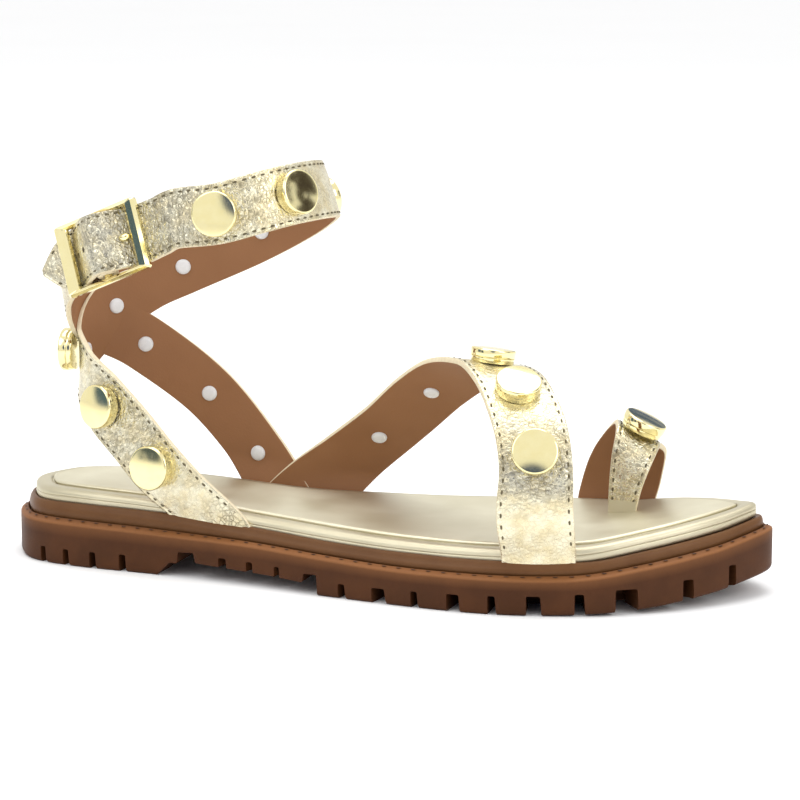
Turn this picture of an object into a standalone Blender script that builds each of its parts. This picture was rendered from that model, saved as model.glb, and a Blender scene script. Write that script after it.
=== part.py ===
"""Gladiator sandal, right shoe, as a set of separate solids.

The x axis runs from heel to toe, the y axis from the outer side of the foot to the inner
side, and z is up. The origin lies on the ground under the middle of the heel.
"""

import math

import bpy
import bmesh
from mathutils import Matrix, Vector

# Driving sizes, in metres
SOLE_LENGTH = 0.255
BALL_WIDTH = 0.0925
HEEL_WIDTH = 0.057
HEEL_CENTRE = 0.034
RIM_HEIGHT = 0.0145
BEAD_RISE = 0.0040
TOE_SPRING = 0.0078
FOOTBED_THICKNESS = 0.0048
SOCK_THICKNESS = 0.0012
SOCK_RECESS = 0.0007
FOOT_EASE = 0.0012
RIM_EASE = 0.0007
RIM_WIDTH = 0.0025
GROOVE_DEPTH = 0.0009
BEAD_INSET = 0.0030
BEAD_ROUND = 0.0012
FOOTBED_INSET = 0.0053
FOOTBED_ROLL = 0.0024
SOCK_INSET = 0.0115
SOCK_BORDER = 0.0014
SOCK_EASE = 0.0010
LUG_HEIGHT = 0.0056
LUG_REACH = 0.0130
CHANNEL_WIDTH = 0.0030
CHANNEL_DEPTH = 0.0025
CLEARANCE = 0.0003

STRAP_THICKNESS = 0.0019
BAND_WIDTH = 0.0192
VAMP_WIDTH = 0.0236
TOE_STRAP_WIDTH = 0.0265
INSTEP_RISE = 0.058
ANKLE_RISE = 0.108
TOE_RISE = 0.0305

STUD_DIAMETER = 0.0145
STUD_THICKNESS = 0.0046
STUD_CHAMFER = 0.0006
POST_DIAMETER = 0.0024
RIVET_DIAMETER = 0.0052
RIVET_THICKNESS = 0.0010
RIVET_GAP = 0.00065

BUCKLE_SPAN = 0.0272
BUCKLE_SIDE_BAR = 0.0044
BUCKLE_RAIL = 0.0019
BUCKLE_THICKNESS = 0.0030
BUCKLE_EDGE = 0.0009
BUCKLE_PLAY = 0.0005
CENTRE_BAR = 0.0026
PRONG_DIAMETER = 0.0018
PRONG_RING = 0.0013

# Counts
HALF_RING = 30
CURVE_STEPS = 24
STRAP_STEPS = 3
STRAP_CELLS = 2
STUD_SIDES = 12
HOLE_SIDES = 8

# Outline of the heel: share of the length, then shares of half the heel width
HEEL_OUTLINE = (
    # along, lateral, medial
    (0.020, 0.45, 0.58),
    (0.055, 0.77, 0.87),
    (0.125, 0.94, 1.01),
    (0.240, 1.03, 0.98),
)
# Outline of the waist and forefoot: share of the length, then of half the ball width
FORE_OUTLINE = (
    # along, lateral, medial
    (0.373, 0.745, 0.60),
    (0.478, 0.865, 0.74),
    (0.608, 0.975, 0.92),
    (0.710, 0.990, 1.01),
    (0.808, 0.865, 0.985),
    (0.865, 0.705, 0.90),
    (0.925, 0.455, 0.70),
    (0.975, 0.130, 0.44),
)
TAIL_SIDE = 0.05
TIP_SIDE = 0.17

# Heights along the sole
SOLE_PROFILE = (
    # along, rim share of rim height, bead share of bead rise, tread share of toe spring
    (0.00, 0.98, 1.20, 0.00),
    (0.12, 0.99, 1.22, 0.00),
    (0.25, 0.95, 1.12, 0.00),
    (0.36, 0.93, 0.75, 0.00),
    (0.46, 0.86, 0.68, 0.00),
    (0.56, 0.79, 0.70, 0.00),
    (0.68, 0.79, 0.72, 0.00),
    (0.80, 0.82, 0.90, 0.06),
    (0.88, 1.02, 1.05, 0.22),
    (0.95, 1.24, 1.05, 0.58),
    (1.00, 1.48, 1.05, 1.00),
)

# Side view of the hollow under the waist
ARCH_PROFILE = (
    # share of the length, share of the lug height
    (0.232, -0.40),
    (0.236, 0.00),
    (0.255, 0.84),
    (0.266, 0.84),
    (0.268, 1.52),
    (0.290, 1.56),
    (0.293, 0.98),
    (0.320, 0.92),
    (0.405, 0.78),
    (0.446, 0.66),
    (0.448, 1.18),
    (0.466, 1.22),
    (0.468, -0.40),
)

# Slots between the lugs on both sides
SLOTS = (
    # along, width at the top, width at the bottom (shares of the slot pitch), roof share
    (0.070, 0.22, 0.31, 0.98),
    (0.106, 0.22, 0.31, 0.98),
    (0.146, 0.23, 0.32, 0.99),
    (0.189, 0.24, 0.33, 1.02),
    (0.334, 0.29, 0.45, 1.45),
    (0.372, 0.24, 0.35, 1.42),
    (0.411, 0.20, 0.30, 1.36),
    (0.503, 0.24, 0.38, 0.86),
    (0.554, 0.46, 0.64, 0.88),
    (0.601, 0.22, 0.34, 0.94),
    (0.651, 0.42, 0.52, 1.00),
    (0.700, 0.24, 0.36, 1.06),
    (0.750, 0.46, 0.56, 1.10),
    (0.804, 0.30, 0.42, 1.18),
    (0.856, 0.74, 0.84, 1.26),
    (0.921, 0.38, 0.46, 1.16),
    (0.965, 0.30, 0.36, 1.24),
)
SLOT_PITCH = 0.0095

# Straps: share of the length, share of half the ball width, share of the strap's rise,
# the way the outer face looks (degrees round from the toe, degrees up), width share
VAMP_ROWS = (
    # along, side, rise, facing, tilt, width
    (0.752, -0.880, -0.150, -75, 0, 1.0),
    (0.750, -0.895, 0.110, -75, 3, 1.0),
    (0.748, -0.925, 0.310, -76, 9, 1.0),
    (0.748, -0.900, 0.520, -76, 22, 0.96),
    (0.737, -0.795, 0.710, -73, 37, 0.95),
    (0.715, -0.620, 0.853, -64, 50, 0.95),
    (0.687, -0.400, 0.953, -50, 62, 0.97),
    (0.650, -0.150, 0.982, -22, 67, 1.0),
    (0.601, 0.065, 0.900, 22, 65, 1.0),
    (0.552, 0.260, 0.755, 54, 62, 1.0),
    (0.495, 0.435, 0.530, 74, 57, 1.0),
    (0.431, 0.560, 0.290, 86, 44, 1.0),
    (0.372, 0.535, 0.050, 93, 18, 1.0),
    (0.318, 0.500, -0.200, 97, 0, 1.0),
)
BAND_A_ROWS = (
    # along, side, rise, facing, tilt, width
    (0.352, -0.625, -0.085, -90, 0, 1.0),
    (0.319, -0.628, 0.000, -92, 2, 1.0),
    (0.274, -0.605, 0.078, -98, 5, 1.02),
    (0.233, -0.550, 0.155, -106, 8, 1.05),
    (0.196, -0.485, 0.233, -116, 13, 1.07),
    (0.154, -0.395, 0.312, -128, 16, 1.08),
    (0.112, -0.235, 0.390, -152, 10, 1.05),
    (0.094, 0.000, 0.458, -180, 3, 1.0),
    (0.110, 0.240, 0.560, -216, -3, 1.0),
    (0.149, 0.410, 0.642, -238, 0, 1.0),
    (0.198, 0.530, 0.702, -253, 3, 1.0),
    (0.285, 0.630, 0.805, -268, 2, 1.0),
    (0.358, 0.590, 0.907, -286, 5, 1.0),
    (0.407, 0.370, 0.983, -318, 14, 1.0),
    (0.423, 0.020, 1.008, -358, 19, 1.0),
    (0.406, -0.355, 1.005, -402, 14, 1.0),
    (0.372, -0.565, 0.980, -432, 5, 1.0),
    (0.326, -0.645, 0.943, -447, 5, 1.0),
)
BAND_B_ROWS = (
    # along, side, rise, facing, tilt, width
    (0.370, 0.500, -0.110, 90, 0, 1.0),
    (0.338, 0.508, 0.000, 90, 2, 1.0),
    (0.300, 0.560, 0.118, 94, 7, 1.0),
    (0.228, 0.560, 0.300, 105, 7, 1.0),
    (0.148, 0.400, 0.452, 124, 2, 1.0),
    (0.105, 0.226, 0.520, 147, 4, 1.0),
    (0.082, 0.000, 0.585, 180, -12, 1.0),
    (0.084, -0.235, 0.670, 214, -3, 1.0),
)
TOE_ROWS = (
    # along, side, rise, facing, tilt, width
    (0.802, 0.313, -0.080, -90, 0, 0.31),
    (0.803, 0.313, 0.130, -90, 0, 0.33),
    (0.807, 0.318, 0.450, -90, 4, 0.40),
    (0.813, 0.345, 0.720, -82, 24, 0.49),
    (0.817, 0.435, 0.915, -44, 53, 0.56),
    (0.813, 0.570, 0.955, 0, 63, 0.62),
    (0.806, 0.740, 0.850, 60, 48, 0.78),
    (0.786, 0.865, 0.520, 78, 24, 0.95),
    (0.773, 0.915, 0.180, 83, 7, 1.0),
    (0.769, 0.917, -0.150, 85, 0, 1.0),
)

# The free end of the ankle strap, in the buckle's own directions, in shares of its span
FREE_END = (
    # forward, outward (1 over the centre bar, -1 under the side bars), width
    (1.04, -0.60, 1.0),
    (0.78, -0.86, 1.0),
    (0.56, -1.02, 1.0),
    (0.40, -1.05, 1.0),
    (0.19, 0.42, 1.0),
    (0.00, 1.02, 1.0),
    (-0.19, 0.42, 1.0),
    (-0.40, -1.05, 1.0),
    (-0.56, -1.05, 0.96),
    (-0.66, -1.00, 0.82),
    (-0.75, -0.90, 0.60),
    (-0.90, -0.76, 0.14),
)
BUCKLE_PLACE = (0.1700, -0.640, 0.812)
BUCKLE_FORWARD = (0.921, -0.090, 0.378)
BUCKLE_OUTWARD = (0.0, -1.0, 0.30)

# Studs: strap, place along its rows counted in rows, extra grip through a second layer
STUDS = (
    ("stud_vamp_1", "vamp", 3.42, 0.0),
    ("stud_vamp_2", "vamp", 5.30, 0.0),
    ("stud_vamp_3", "vamp", 6.85, 0.0),
    ("stud_vamp_4", "vamp", 8.95, 0.0),
    ("stud_vamp_5", "vamp", 10.40, 0.0),
    ("stud_lateral_1", "band_a", 3.00, 0.0),
    ("stud_lateral_2", "band_a", 5.00, 0.0004),
    ("stud_heel", "band_a", 6.93, 0.0020),
    ("stud_medial_1", "band_a", 8.18, 0.0024),
    ("stud_medial_2", "band_a", 9.95, 0.0),
    ("stud_medial_3", "band_a", 11.18, 0.0),
    ("stud_front", "band_a", 12.42, 0.0),
    ("stud_ankle_1", "band_a", 15.05, 0.0),
    ("stud_ankle_2", "band_a", 17.00, 0.0),
    ("stud_quarter_1", "band_b", 2.05, 0.0),
    ("stud_quarter_2", "band_b", 3.00, 0.0),
    ("stud_quarter_3", "band_b", 4.00, 0.0004),
    ("stud_toe", "toe", 4.60, 0.0010),
)

FINISHES = {
    # colour, roughness, metallic
    "rubber": ((0.150, 0.062, 0.030, 1.0), 0.62, 0.0),
    "bead": ((0.115, 0.045, 0.024, 1.0), 0.50, 0.0),
    "foil_leather": ((0.70, 0.62, 0.42, 1.0), 0.34, 0.75),
    "sock": ((0.66, 0.60, 0.46, 1.0), 0.38, 0.6),
    "gold": ((0.86, 0.76, 0.42, 1.0), 0.12, 1.0),
}


# Small helpers

def clear_scene():
    for item in list(bpy.data.objects):
        bpy.data.objects.remove(item)


def make_collection(name):
    collection = bpy.data.collections.new(name)
    bpy.context.scene.collection.children.link(collection)
    return collection


def make_material(name, finish):
    colour, roughness, metallic = FINISHES[finish]
    material = bpy.data.materials.new(name)
    material.use_nodes = True
    shader = material.node_tree.nodes["Principled BSDF"]
    shader.inputs["Base Color"].default_value = colour
    shader.inputs["Roughness"].default_value = roughness
    shader.inputs["Metallic"].default_value = metallic
    return material


def add_object(name, mesh, collection, finish=None):
    item = bpy.data.objects.new(name, mesh)
    collection.objects.link(item)
    if finish:
        mesh.materials.append(make_material(name, finish))
    else:
        item.hide_render = True
        item.display_type = "WIRE"
    return item


def close_mesh(name, work):
    bmesh.ops.recalc_face_normals(work, faces=work.faces)
    mesh = bpy.data.meshes.new(name)
    work.to_mesh(mesh)
    work.free()
    return mesh


def evaluated_mesh(item):
    bpy.context.view_layer.update()
    graph = bpy.context.evaluated_depsgraph_get()
    mesh = bpy.data.meshes.new_from_object(item.evaluated_get(graph))
    mesh.transform(item.matrix_world)
    return mesh


def bake(item):
    """Turn an object's modifiers and place into plain mesh."""
    mesh = evaluated_mesh(item)
    item.modifiers.clear()
    item.matrix_world = Matrix.Identity(4)
    item.data = mesh


def boolean(item, other, operation):
    modifier = item.modifiers.new(operation.title(), "BOOLEAN")
    modifier.operation = operation
    modifier.solver = "EXACT"
    modifier.object = other


def hermite(before, start, end, after, share):
    """Catmull and Rom's curve between start and end, for tuples of numbers."""
    a, b, c = share, share * share, share ** 3
    return tuple(
        0.5 * (2 * q + (r - p) * a + (2 * p - 5 * q + 4 * r - s) * b + (3 * q - p - 3 * r + s) * c)
        for p, q, r, s in zip(before, start, end, after)
    )


def along_rows(rows, place):
    """Value of a row table at a place counted in rows, on a smooth curve."""
    last = len(rows) - 1
    index = min(max(int(math.floor(place)), 0), last - 1)
    before = rows[index - 1] if index > 0 else reflect(rows[0], rows[1])
    after = rows[index + 2] if index + 2 <= last else reflect(rows[last], rows[last - 1])
    return hermite(before, rows[index], rows[index + 1], after, place - index)


def reflect(end, inner):
    return tuple(2 * a - b for a, b in zip(end, inner))


def profile_at(along):
    """Rim height, bead top and tread height at a share of the length."""
    along = min(max(along, 0.0), 1.0)
    for index in range(len(SOLE_PROFILE) - 1):
        low, high = SOLE_PROFILE[index], SOLE_PROFILE[index + 1]
        if along <= high[0]:
            break
    share = (along - low[0]) / (high[0] - low[0])
    _, rim, bead, tread = along_rows(SOLE_PROFILE, index + share)
    rim_height = rim * RIM_HEIGHT
    return rim_height, rim_height + bead * BEAD_RISE, max(tread, 0.0) * TOE_SPRING


def share_of(x):
    return (x + HEEL_CENTRE) / SOLE_LENGTH


def rim_top(x):
    return profile_at(share_of(x))[0]


def bead_top(x):
    return profile_at(share_of(x))[1]


def tread(x):
    return profile_at(share_of(x))[2]


# Sole outline

def outline_points(side):
    """Control points of one side from the back of the heel to the toe tip."""
    column = 1 if side < 0 else 2
    half_heel, half_ball = HEEL_WIDTH / 2, BALL_WIDTH / 2
    points = [(0.0, TAIL_SIDE * half_heel)]
    points += [(row[0] * SOLE_LENGTH, side * row[column] * half_heel) for row in HEEL_OUTLINE]
    points += [(row[0] * SOLE_LENGTH, side * row[column] * half_ball) for row in FORE_OUTLINE]
    points.append((SOLE_LENGTH, TIP_SIDE * half_ball))
    return points


def even_points(points, before, after, count):
    """Points at even distances on the smooth curve through the control points."""
    rows = [before] + points + [after]
    fine = []
    for index in range(1, len(rows) - 2):
        for step in range(CURVE_STEPS):
            fine.append(hermite(*rows[index - 1:index + 3], step / CURVE_STEPS))
    fine.append(points[-1])
    lengths = [0.0]
    for a, b in zip(fine, fine[1:]):
        lengths.append(lengths[-1] + math.dist(a, b))
    found, index = [], 0
    for step in range(count + 1):
        target = lengths[-1] * step / count
        while index < len(fine) - 2 and lengths[index + 1] < target:
            index += 1
        share = (target - lengths[index]) / (lengths[index + 1] - lengths[index])
        a, b = fine[index], fine[index + 1]
        found.append((a[0] + (b[0] - a[0]) * share, a[1] + (b[1] - a[1]) * share))
    return found


def sole_ring():
    """Closed outline in the shoe's frame, lateral side first, as 2-D vectors."""
    lateral, medial = outline_points(-1), outline_points(1)
    outer = even_points(lateral, medial[1], medial[-2], HALF_RING)
    inner = even_points(medial, lateral[1], lateral[-2], HALF_RING)
    ring = outer + inner[-2:0:-1]
    return [Vector((x - HEEL_CENTRE, y)) for x, y in ring]


def inset_ring(ring, distance):
    moved = []
    for index, point in enumerate(ring):
        ahead = ring[(index + 1) % len(ring)] - ring[index - 1]
        inward = Vector((-ahead.y, ahead.x)).normalized()
        moved.append(point + inward * distance)
    return moved


def ring_stack(name, levels):
    """Closed plate from rings of (inset, height function), bottom first."""
    ring = sole_ring()
    count = len(ring)
    work = bmesh.new()
    layers = []
    for distance, height in levels:
        points = inset_ring(ring, distance)
        layers.append([work.verts.new((p.x, p.y, height(p.x))) for p in points])
    for low, high in zip(layers, layers[1:]):
        for index in range(count):
            after = (index + 1) % count
            work.faces.new((low[index], low[after], high[after], high[index]))
    for layer in (layers[0], layers[-1]):
        work.faces.new((layer[0], layer[1], layer[-1]))
        for index in range(1, HALF_RING - 1):
            work.faces.new((layer[index], layer[index + 1], layer[-index - 1], layer[-index]))
        work.faces.new((layer[HALF_RING - 1], layer[HALF_RING], layer[HALF_RING + 1]))
    return close_mesh(name, work)


def prism(work, corners, depth):
    """Add a closed prism: 3-D corners of one end and the vector to the other end."""
    base = [work.verts.new(corner) for corner in corners]
    face = work.faces.new(base)
    grown = bmesh.ops.extrude_face_region(work, geom=[face])
    moved = [item for item in grown["geom"] if isinstance(item, bmesh.types.BMVert)]
    bmesh.ops.translate(work, verts=moved, vec=depth)


# Sole pieces

def arch_cutter(cutters):
    work = bmesh.new()
    corners = [
        Vector((along * SOLE_LENGTH - HEEL_CENTRE, -BALL_WIDTH, height * LUG_HEIGHT))
        for along, height in ARCH_PROFILE
    ]
    prism(work, corners, Vector((0, 2 * BALL_WIDTH, 0)))
    return add_object("arch_cutter", close_mesh("arch_cutter", work), cutters)


def side_place(ring, along):
    """Outline points on both sides at a share of the length, with their inward directions."""
    x = along * SOLE_LENGTH - HEEL_CENTRE
    half = len(ring) // 2
    found = []
    for indices in (range(1, half), range(half + 1, len(ring))):
        index = min(indices, key=lambda i: abs(ring[i].x - x))
        ahead = ring[(index + 1) % len(ring)] - ring[index - 1]
        point = ring[index] + ahead * ((x - ring[index].x) / ahead.x)
        found.append((point, ahead.normalized(), Vector((-ahead.y, ahead.x)).normalized()))
    return found


def slot_cutter(cutters):
    """Wedges between the lugs: upright rear wall, slanted front wall."""
    ring = sole_ring()
    work = bmesh.new()
    for along, top, bottom, roof in SLOTS:
        for side, (point, ahead, inward) in zip((1, -1), side_place(ring, along)):
            forward = ahead * side
            ceiling = roof * LUG_HEIGHT
            floor = -LUG_HEIGHT
            start = point - inward * LUG_REACH * 0.4
            spans = (
                (-bottom / 2, floor), (-bottom / 2, ceiling),
                (-bottom / 2 + top, ceiling), (bottom / 2, floor),
            )
            corners = [
                Vector((*(start + forward * (share * SLOT_PITCH)), height + tread(point.x)))
                for share, height in spans
            ]
            reach = 1.4 * LUG_REACH + 0.5 * CHANNEL_WIDTH
            prism(work, corners, Vector((*(inward * reach), 0)))
    return add_object("slot_cutter", close_mesh("slot_cutter", work), cutters)


def channel_cutter(cutters):
    """Shallow channel that parts the edge lugs from the middle of the tread."""
    ring = sole_ring()
    outer = inset_ring(ring, LUG_REACH)
    inner = inset_ring(ring, LUG_REACH + CHANNEL_WIDTH)
    count = len(ring)
    work = bmesh.new()
    layers = []
    for points, height in (
        (outer, -CHANNEL_DEPTH), (outer, CHANNEL_DEPTH), (inner, CHANNEL_DEPTH), (inner, -CHANNEL_DEPTH),
    ):
        layers.append([work.verts.new((p.x, p.y, tread(p.x) + height)) for p in points])
    for low, high in zip(layers, layers[1:] + layers[:1]):
        for index in range(count):
            after = (index + 1) % count
            work.faces.new((low[index], low[after], high[after], high[index]))
    return add_object("channel_cutter", close_mesh("channel_cutter", work), cutters)


def make_outsole(parts, cutters):
    levels = (
        (FOOT_EASE, tread),
        (FOOT_EASE / 3, lambda x: tread(x) + RIM_EASE),
        (0.0, lambda x: tread(x) + 3 * RIM_EASE),
        (0.0, lambda x: rim_top(x) - RIM_EASE),
        (RIM_EASE, rim_top),
        (RIM_WIDTH, lambda x: rim_top(x) + 0.22 * (bead_top(x) - rim_top(x))),
        (RIM_WIDTH + RIM_EASE, lambda x: rim_top(x) - GROOVE_DEPTH),
    )
    item = add_object("outsole", ring_stack("outsole", levels), parts, "rubber")
    boolean(item, arch_cutter(cutters), "DIFFERENCE")
    boolean(item, slot_cutter(cutters), "DIFFERENCE")
    boolean(item, channel_cutter(cutters), "DIFFERENCE")
    return item


def make_midsole(parts):
    """Rounded bead that shows between the outsole's rim and the footbed."""
    def level(share):
        return lambda x: rim_top(x) + share * (bead_top(x) - rim_top(x))

    levels = (
        (BEAD_INSET + 0.50 * BEAD_ROUND, lambda x: rim_top(x) - GROOVE_DEPTH + CLEARANCE),
        (BEAD_INSET + 0.25 * BEAD_ROUND, level(0.12)),
        (BEAD_INSET, level(0.40)),
        (BEAD_INSET + 0.17 * BEAD_ROUND, level(0.70)),
        (BEAD_INSET + 0.75 * BEAD_ROUND, level(0.94)),
        (FOOTBED_INSET - BEAD_ROUND, bead_top),
    )
    return add_object("midsole", ring_stack("midsole", levels), parts, "bead")


def footbed_level(share, rise=0.0):
    return lambda x: bead_top(x) + CLEARANCE + share * FOOTBED_THICKNESS + rise


def make_footbed(parts):
    levels = (
        (FOOTBED_INSET + FOOTBED_ROLL / 4, footbed_level(0.0)),
        (FOOTBED_INSET, footbed_level(0.16)),
        (FOOTBED_INSET, footbed_level(0.50)),
        (FOOTBED_INSET + FOOTBED_ROLL / 3, footbed_level(0.82)),
        (FOOTBED_INSET + FOOTBED_ROLL, footbed_level(1.0)),
        (SOCK_INSET - SOCK_BORDER, footbed_level(1.0)),
        (SOCK_INSET - SOCK_BORDER / 2, footbed_level(1.0, -SOCK_RECESS)),
    )
    return add_object("footbed", ring_stack("footbed", levels), parts, "foil_leather")


def make_sock(parts):
    base = CLEARANCE - SOCK_RECESS
    levels = (
        (SOCK_INSET, footbed_level(1.0, base)),
        (SOCK_INSET - SOCK_EASE / 5, footbed_level(1.0, base + 0.5 * SOCK_THICKNESS)),
        (SOCK_INSET + SOCK_EASE, footbed_level(1.0, base + SOCK_THICKNESS)),
    )
    return add_object("sock_pad", ring_stack("sock_pad", levels), parts, "sock")


def sole_envelope(cutters):
    """Everything below the bead's top, with clearance, to trim the strap ends."""
    reach = -0.4 * BALL_WIDTH
    deep = 3 * RIM_HEIGHT
    levels = ((reach, lambda x: -deep), (reach, lambda x: bead_top(x) + CLEARANCE))
    return add_object("sole_envelope", ring_stack("sole_envelope", levels), cutters)


def footbed_envelope(cutters):
    gap = FOOTBED_INSET - CLEARANCE
    levels = (
        (gap, lambda x: 0.5 * rim_top(x)),
        (gap, footbed_level(1.0, CLEARANCE)),
    )
    return add_object("footbed_envelope", ring_stack("footbed_envelope", levels), cutters)


# Straps

def facing_vector(facing, tilt):
    round_toe, up = math.radians(facing), math.radians(tilt)
    return Vector((
        math.cos(round_toe) * math.cos(up), math.sin(round_toe) * math.cos(up), math.sin(up),
    ))


def strap_rows(table, rise, width):
    """Rows of centre, outward direction and width, as tuples of seven numbers."""
    rows = []
    for along, side, height, facing, tilt, share in table:
        x = along * SOLE_LENGTH - HEEL_CENTRE
        centre = (x, side * BALL_WIDTH / 2, bead_top(x) + height * rise)
        rows.append((*centre, *facing_vector(facing, tilt), share * width))
    return rows


def buckle_frame_matrix():
    """The buckle's own directions: forward, across and outward, with its centre."""
    along, side, height = BUCKLE_PLACE
    x = along * SOLE_LENGTH - HEEL_CENTRE
    centre = Vector((x, side * BALL_WIDTH / 2, bead_top(x) + height * ANKLE_RISE))
    forward = Vector(BUCKLE_FORWARD).normalized()
    outward = Vector(BUCKLE_OUTWARD)
    outward = (outward - forward * outward.dot(forward)).normalized()
    across = outward.cross(forward)
    matrix = Matrix((forward, across, outward)).transposed().to_4x4()
    matrix.translation = centre
    return matrix


def free_end_rows():
    place = buckle_frame_matrix()
    outward = place.col[2].xyz
    over = CENTRE_BAR / 2 + 2 * CLEARANCE + 1.5 * STRAP_THICKNESS
    under = BUCKLE_THICKNESS / 2 + CLEARANCE + STRAP_THICKNESS / 2
    rows = []
    for forward, out, share in FREE_END:
        height = out * (over if out > 0 else under)
        centre = place @ Vector((forward * BUCKLE_SPAN, 0, height))
        rows.append((*centre, *outward, share * BAND_WIDTH))
    return rows


def sleeve_rows():
    """The short run of the second band from below the free end to the centre bar."""
    place = buckle_frame_matrix()
    outward = place.col[2].xyz
    under_bar = -(CENTRE_BAR / 2 + CLEARANCE + STRAP_THICKNESS / 2)
    under_strap = -(BUCKLE_THICKNESS / 2 + 2 * CLEARANCE + 1.5 * STRAP_THICKNESS)
    rows = []
    for forward, out in ((-0.64, under_strap * 1.28), (-0.40, under_strap * 1.04), (0.02, under_bar)):
        centre = place @ Vector((forward * BUCKLE_SPAN, 0, out))
        rows.append((*centre, *outward, BAND_WIDTH))
    return rows


def strap_frame(rows, place):
    """Centre, along, across, outward and width at a place counted in rows."""
    values = along_rows(rows, place)
    centre, outward, width = Vector(values[:3]), Vector(values[3:6]), values[6]
    step = 0.02
    ahead = Vector(along_rows(rows, min(place + step, len(rows) - 1))[:3])
    behind = Vector(along_rows(rows, max(place - step, 0))[:3])
    along = (ahead - behind).normalized()
    across = outward.cross(along).normalized()
    return centre, along, across, along.cross(across), width


def strap_mesh(name, rows, grow=0.0):
    """Open ribbon of faces along the rows."""
    work = bmesh.new()
    lines = []
    steps = (len(rows) - 1) * STRAP_STEPS
    for step in range(steps + 1):
        centre, _, across, _, width = strap_frame(rows, step / STRAP_STEPS)
        line = []
        for cell in range(STRAP_CELLS + 1):
            share = cell / STRAP_CELLS - 0.5
            line.append(work.verts.new(centre + across * (share * (width + 2 * grow))))
        lines.append(line)
    for low, high in zip(lines, lines[1:]):
        for cell in range(STRAP_CELLS):
            work.faces.new((low[cell], low[cell + 1], high[cell + 1], high[cell]))
    return close_mesh(name, work)


def make_strap(name, rows, collection, finish=None, grow=0.0):
    item = add_object(name, strap_mesh(name, rows, grow), collection, finish)
    wall = item.modifiers.new("Wall", "SOLIDIFY")
    wall.thickness = STRAP_THICKNESS + 2 * grow
    wall.offset = 0.0
    wall.use_even_offset = True
    bake(item)
    return item


def bar_cylinder(name, collection, radius, length, place, sides, finish=None):
    work = bmesh.new()
    bmesh.ops.create_cone(
        work, cap_ends=True, segments=sides, radius1=radius, radius2=radius, depth=length,
    )
    bmesh.ops.transform(work, matrix=place, verts=work.verts)
    return add_object(name, close_mesh(name, work), collection, finish)


def box_object(name, collection, size, centre, place, finish=None):
    work = bmesh.new()
    bmesh.ops.create_cube(work, size=1.0)
    bmesh.ops.scale(work, vec=size, verts=work.verts)
    bmesh.ops.translate(work, vec=centre, verts=work.verts)
    bmesh.ops.transform(work, matrix=place, verts=work.verts)
    return add_object(name, close_mesh(name, work), collection, finish)


def across_matrix(place):
    """Turns a cylinder's own axis to the buckle's across direction."""
    return place @ Matrix.Rotation(math.radians(90), 4, "X")


def all_rows():
    return {
        "vamp": strap_rows(VAMP_ROWS, INSTEP_RISE, VAMP_WIDTH),
        "band_a": strap_rows(BAND_A_ROWS, ANKLE_RISE, BAND_WIDTH) + free_end_rows(),
        "band_b": strap_rows(BAND_B_ROWS, ANKLE_RISE, BAND_WIDTH) + sleeve_rows(),
        "toe": strap_rows(TOE_ROWS, TOE_RISE, TOE_STRAP_WIDTH),
    }


def stud_matrix(rows, place):
    centre, along, across, outward, _ = strap_frame(rows, place)
    matrix = Matrix((along, across, outward)).transposed().to_4x4()
    matrix.translation = centre
    return matrix


def stud_hole_cutter(name, strap, tables, cutters):
    work = bmesh.new()
    radius = POST_DIAMETER / 2 + CLEARANCE
    for _, owner, place, grip in STUDS:
        if owner not in strap:
            continue
        matrix = stud_matrix(tables[owner], place)
        reach = STRAP_THICKNESS * 2.2 + grip * 2
        added = bmesh.ops.create_cone(
            work, cap_ends=True, segments=HOLE_SIDES, radius1=radius, radius2=radius, depth=reach,
        )
        bmesh.ops.transform(work, matrix=matrix, verts=added["verts"])
    return add_object(name, close_mesh(name, work), cutters)


def make_upper(parts, cutters, tables):
    """Vamp strap and both crossing bands as one solid."""
    place = buckle_frame_matrix()
    upper = make_strap("upper_straps", tables["vamp"], parts, "foil_leather")
    band_a = make_strap("band_a", tables["band_a"], cutters)
    band_b = make_strap("band_b", tables["band_b"], cutters)
    sleeve_radius = CENTRE_BAR / 2 + CLEARANCE + STRAP_THICKNESS
    sleeve = bar_cylinder(
        "sleeve", cutters, sleeve_radius, BAND_WIDTH * 0.99, across_matrix(place), 16,
    )
    bore = bar_cylinder(
        "sleeve_bore", cutters, CENTRE_BAR / 2 + CLEARANCE, BAND_WIDTH * 1.4,
        across_matrix(place), 14,
    )
    prong_gap = PRONG_DIAMETER + 2 * CLEARANCE
    notch = box_object(
        "prong_notch", cutters,
        (3.2 * sleeve_radius, prong_gap + PRONG_DIAMETER, 2.4 * sleeve_radius),
        (0.6 * sleeve_radius, 0, 0.35 * sleeve_radius), place,
    )
    hole = box_object(
        "prong_hole", cutters,
        (0.22 * BUCKLE_SPAN, prong_gap, 0.30 * BUCKLE_SPAN),
        (0.27 * BUCKLE_SPAN, 0, 0.02 * BUCKLE_SPAN), place,
    )
    boolean(band_b, sleeve, "UNION")
    boolean(band_b, bore, "DIFFERENCE")
    boolean(band_b, notch, "DIFFERENCE")
    bake(band_b)
    boolean(band_a, hole, "DIFFERENCE")
    bake(band_a)
    boolean(upper, band_a, "UNION")
    boolean(upper, band_b, "UNION")
    boolean(upper, sole_envelope(cutters), "DIFFERENCE")
    boolean(upper, footbed_envelope(cutters), "DIFFERENCE")
    owners = ("vamp", "band_a", "band_b")
    boolean(upper, stud_hole_cutter("upper_holes", owners, tables, cutters), "DIFFERENCE")
    return upper


def make_toe_strap(parts, cutters, tables):
    strap = make_strap("toe_strap", tables["toe"], parts, "foil_leather")
    boolean(strap, sole_envelope(cutters), "DIFFERENCE")
    boolean(strap, stud_hole_cutter("toe_hole", ("toe",), tables, cutters), "DIFFERENCE")
    return strap


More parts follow.
